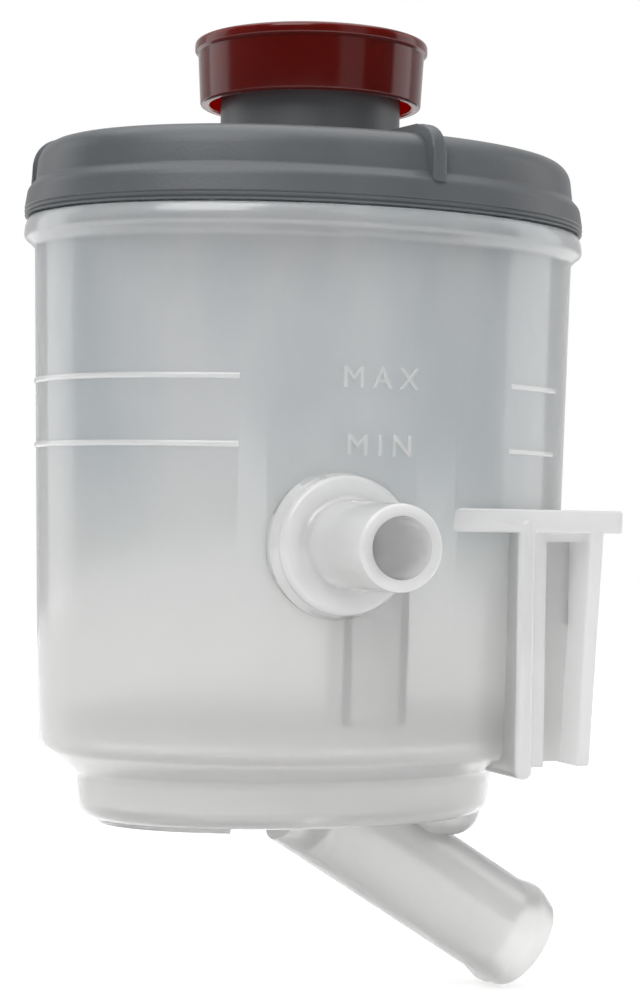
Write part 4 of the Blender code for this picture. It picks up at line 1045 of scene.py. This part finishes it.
floor_form = bmesh.new()
bmesh.ops.create_grid(floor_form, x_segments=1, y_segments=1, size=FLOOR_HALF,
                      matrix=Matrix.Translation((0, 0, floor_height)))
floor = build(floor_form, "floor", turn_outwards=False)
pale, pale_tree, pale_shader = stage_paint("pale_floor", FLOOR_PAINT, FLOOR_GLOSS)
pale_shader.inputs["Roughness"].default_value = FLOOR_ROUGHNESS
glow = calc(pale_tree, 'MULTIPLY', seen_directly(pale_tree), FLOOR_GLOW)
pale_tree.links.new(glow, pale_shader.inputs["Emission Strength"])
floor.data.materials.append(pale)

world = bpy.data.worlds.new("studio")
world.use_nodes = True
bpy.context.scene.world = world
sky = world.node_tree
background = sky.nodes["Background"]
background.inputs["Color"].default_value = WHITE
strength = add_node(sky, 'ShaderNodeMapRange', Value=seen_directly(sky), To_Min=SKY_LIGHT, To_Max=1.0)
sky.links.new(strength.outputs["Result"], background.inputs["Strength"])

# Round wall that only reflections see. It is dark on the camera's side, which keeps the gloss
# deep in front, and lit from the sides to the back, which draws soft bands along the edges.
ROUND_REACH = 1.1
ROUND_HEIGHT = 1.5
ROUND_STEPS = 72
BACK_GLOW = (0.07, 0.7)
BACK_SPAN = (-0.1, -0.98)
FRONT_SPAN = (0.9, 0.0)
round_form = bmesh.new()
round_rings = []
for height in (floor_height, floor_height + ROUND_HEIGHT):
    angles = [math.tau * step / ROUND_STEPS for step in range(ROUND_STEPS)]
    round_rings.append([round_form.verts.new((ROUND_REACH * math.cos(angle), ROUND_REACH * math.sin(angle),
                                              height)) for angle in angles])
for step in range(ROUND_STEPS):
    after = (step + 1) % ROUND_STEPS
    round_form.faces.new((round_rings[0][step], round_rings[0][after], round_rings[1][after],
                          round_rings[1][step]))
round_wall = build(round_form, "round_wall", turn_outwards=False)
round_wall.visible_camera = False
round_wall.visible_diffuse = False
round_wall.visible_transmission = False
round_wall.visible_shadow = False
wall_paint, wall_tree, wall_shader = stage_paint("round_wall", (0.0, 0.0, 0.0, 1.0), 0.0)
wall_place = add_node(wall_tree, 'ShaderNodeTexCoord').outputs["Object"]
to_camera = (math.sin(CAMERA_TURN) / ROUND_REACH, -math.cos(CAMERA_TURN) / ROUND_REACH, 0)
facing = calc(wall_tree, 'DOT_PRODUCT', wall_place, to_camera, vector=True)
light_up = add_node(wall_tree, 'ShaderNodeMapRange', Value=facing, From_Min=BACK_SPAN[0],
                    From_Max=BACK_SPAN[1], To_Min=BACK_GLOW[0], To_Max=BACK_GLOW[1])
shade = add_node(wall_tree, 'ShaderNodeMapRange', Value=facing, From_Min=FRONT_SPAN[0],
                 From_Max=FRONT_SPAN[1])
wall_glow = calc(wall_tree, 'MULTIPLY', light_up.outputs["Result"], shade.outputs["Result"])
wall_tree.links.new(wall_glow, wall_shader.inputs["Emission Strength"])
round_wall.data.materials.append(wall_paint)


# Lamps: a narrow front strip, a key from the left, a wide one above and a tall panel on either
# side, at the level at which a colour renders about as it is written.
def soft_lamp(name, spot, power, width, height):
    """Area lamp that looks at the part."""
    data = bpy.data.lights.new(name, 'AREA')
    data.shape = 'RECTANGLE'
    data.size = width
    data.size_y = height
    data.energy = power
    lamp = bpy.data.objects.new(name, data)
    lamp.location = spot
    lamp.rotation_euler = (-Vector(spot)).to_track_quat('-Z', 'Y').to_euler()
    bpy.context.scene.collection.objects.link(lamp)


soft_lamp("front_strip", (0.27, -0.75, 0.25), power=0.4, width=0.4, height=0.9)
soft_lamp("key", (-0.55, -0.55, 0.75), power=4.0, width=0.6, height=0.6)
soft_lamp("top", (0.0, 0.1, 1.0), power=4.0, width=1.0, height=1.0)
soft_lamp("left_panel", (-0.71, 0.554, 0.10), power=1.9, width=0.5, height=1.2)
soft_lamp("right_panel", (0.90, -0.03, 0.10), power=1.9, width=0.5, height=1.2)
bpy.context.scene.view_settings.view_transform = 'Standard'
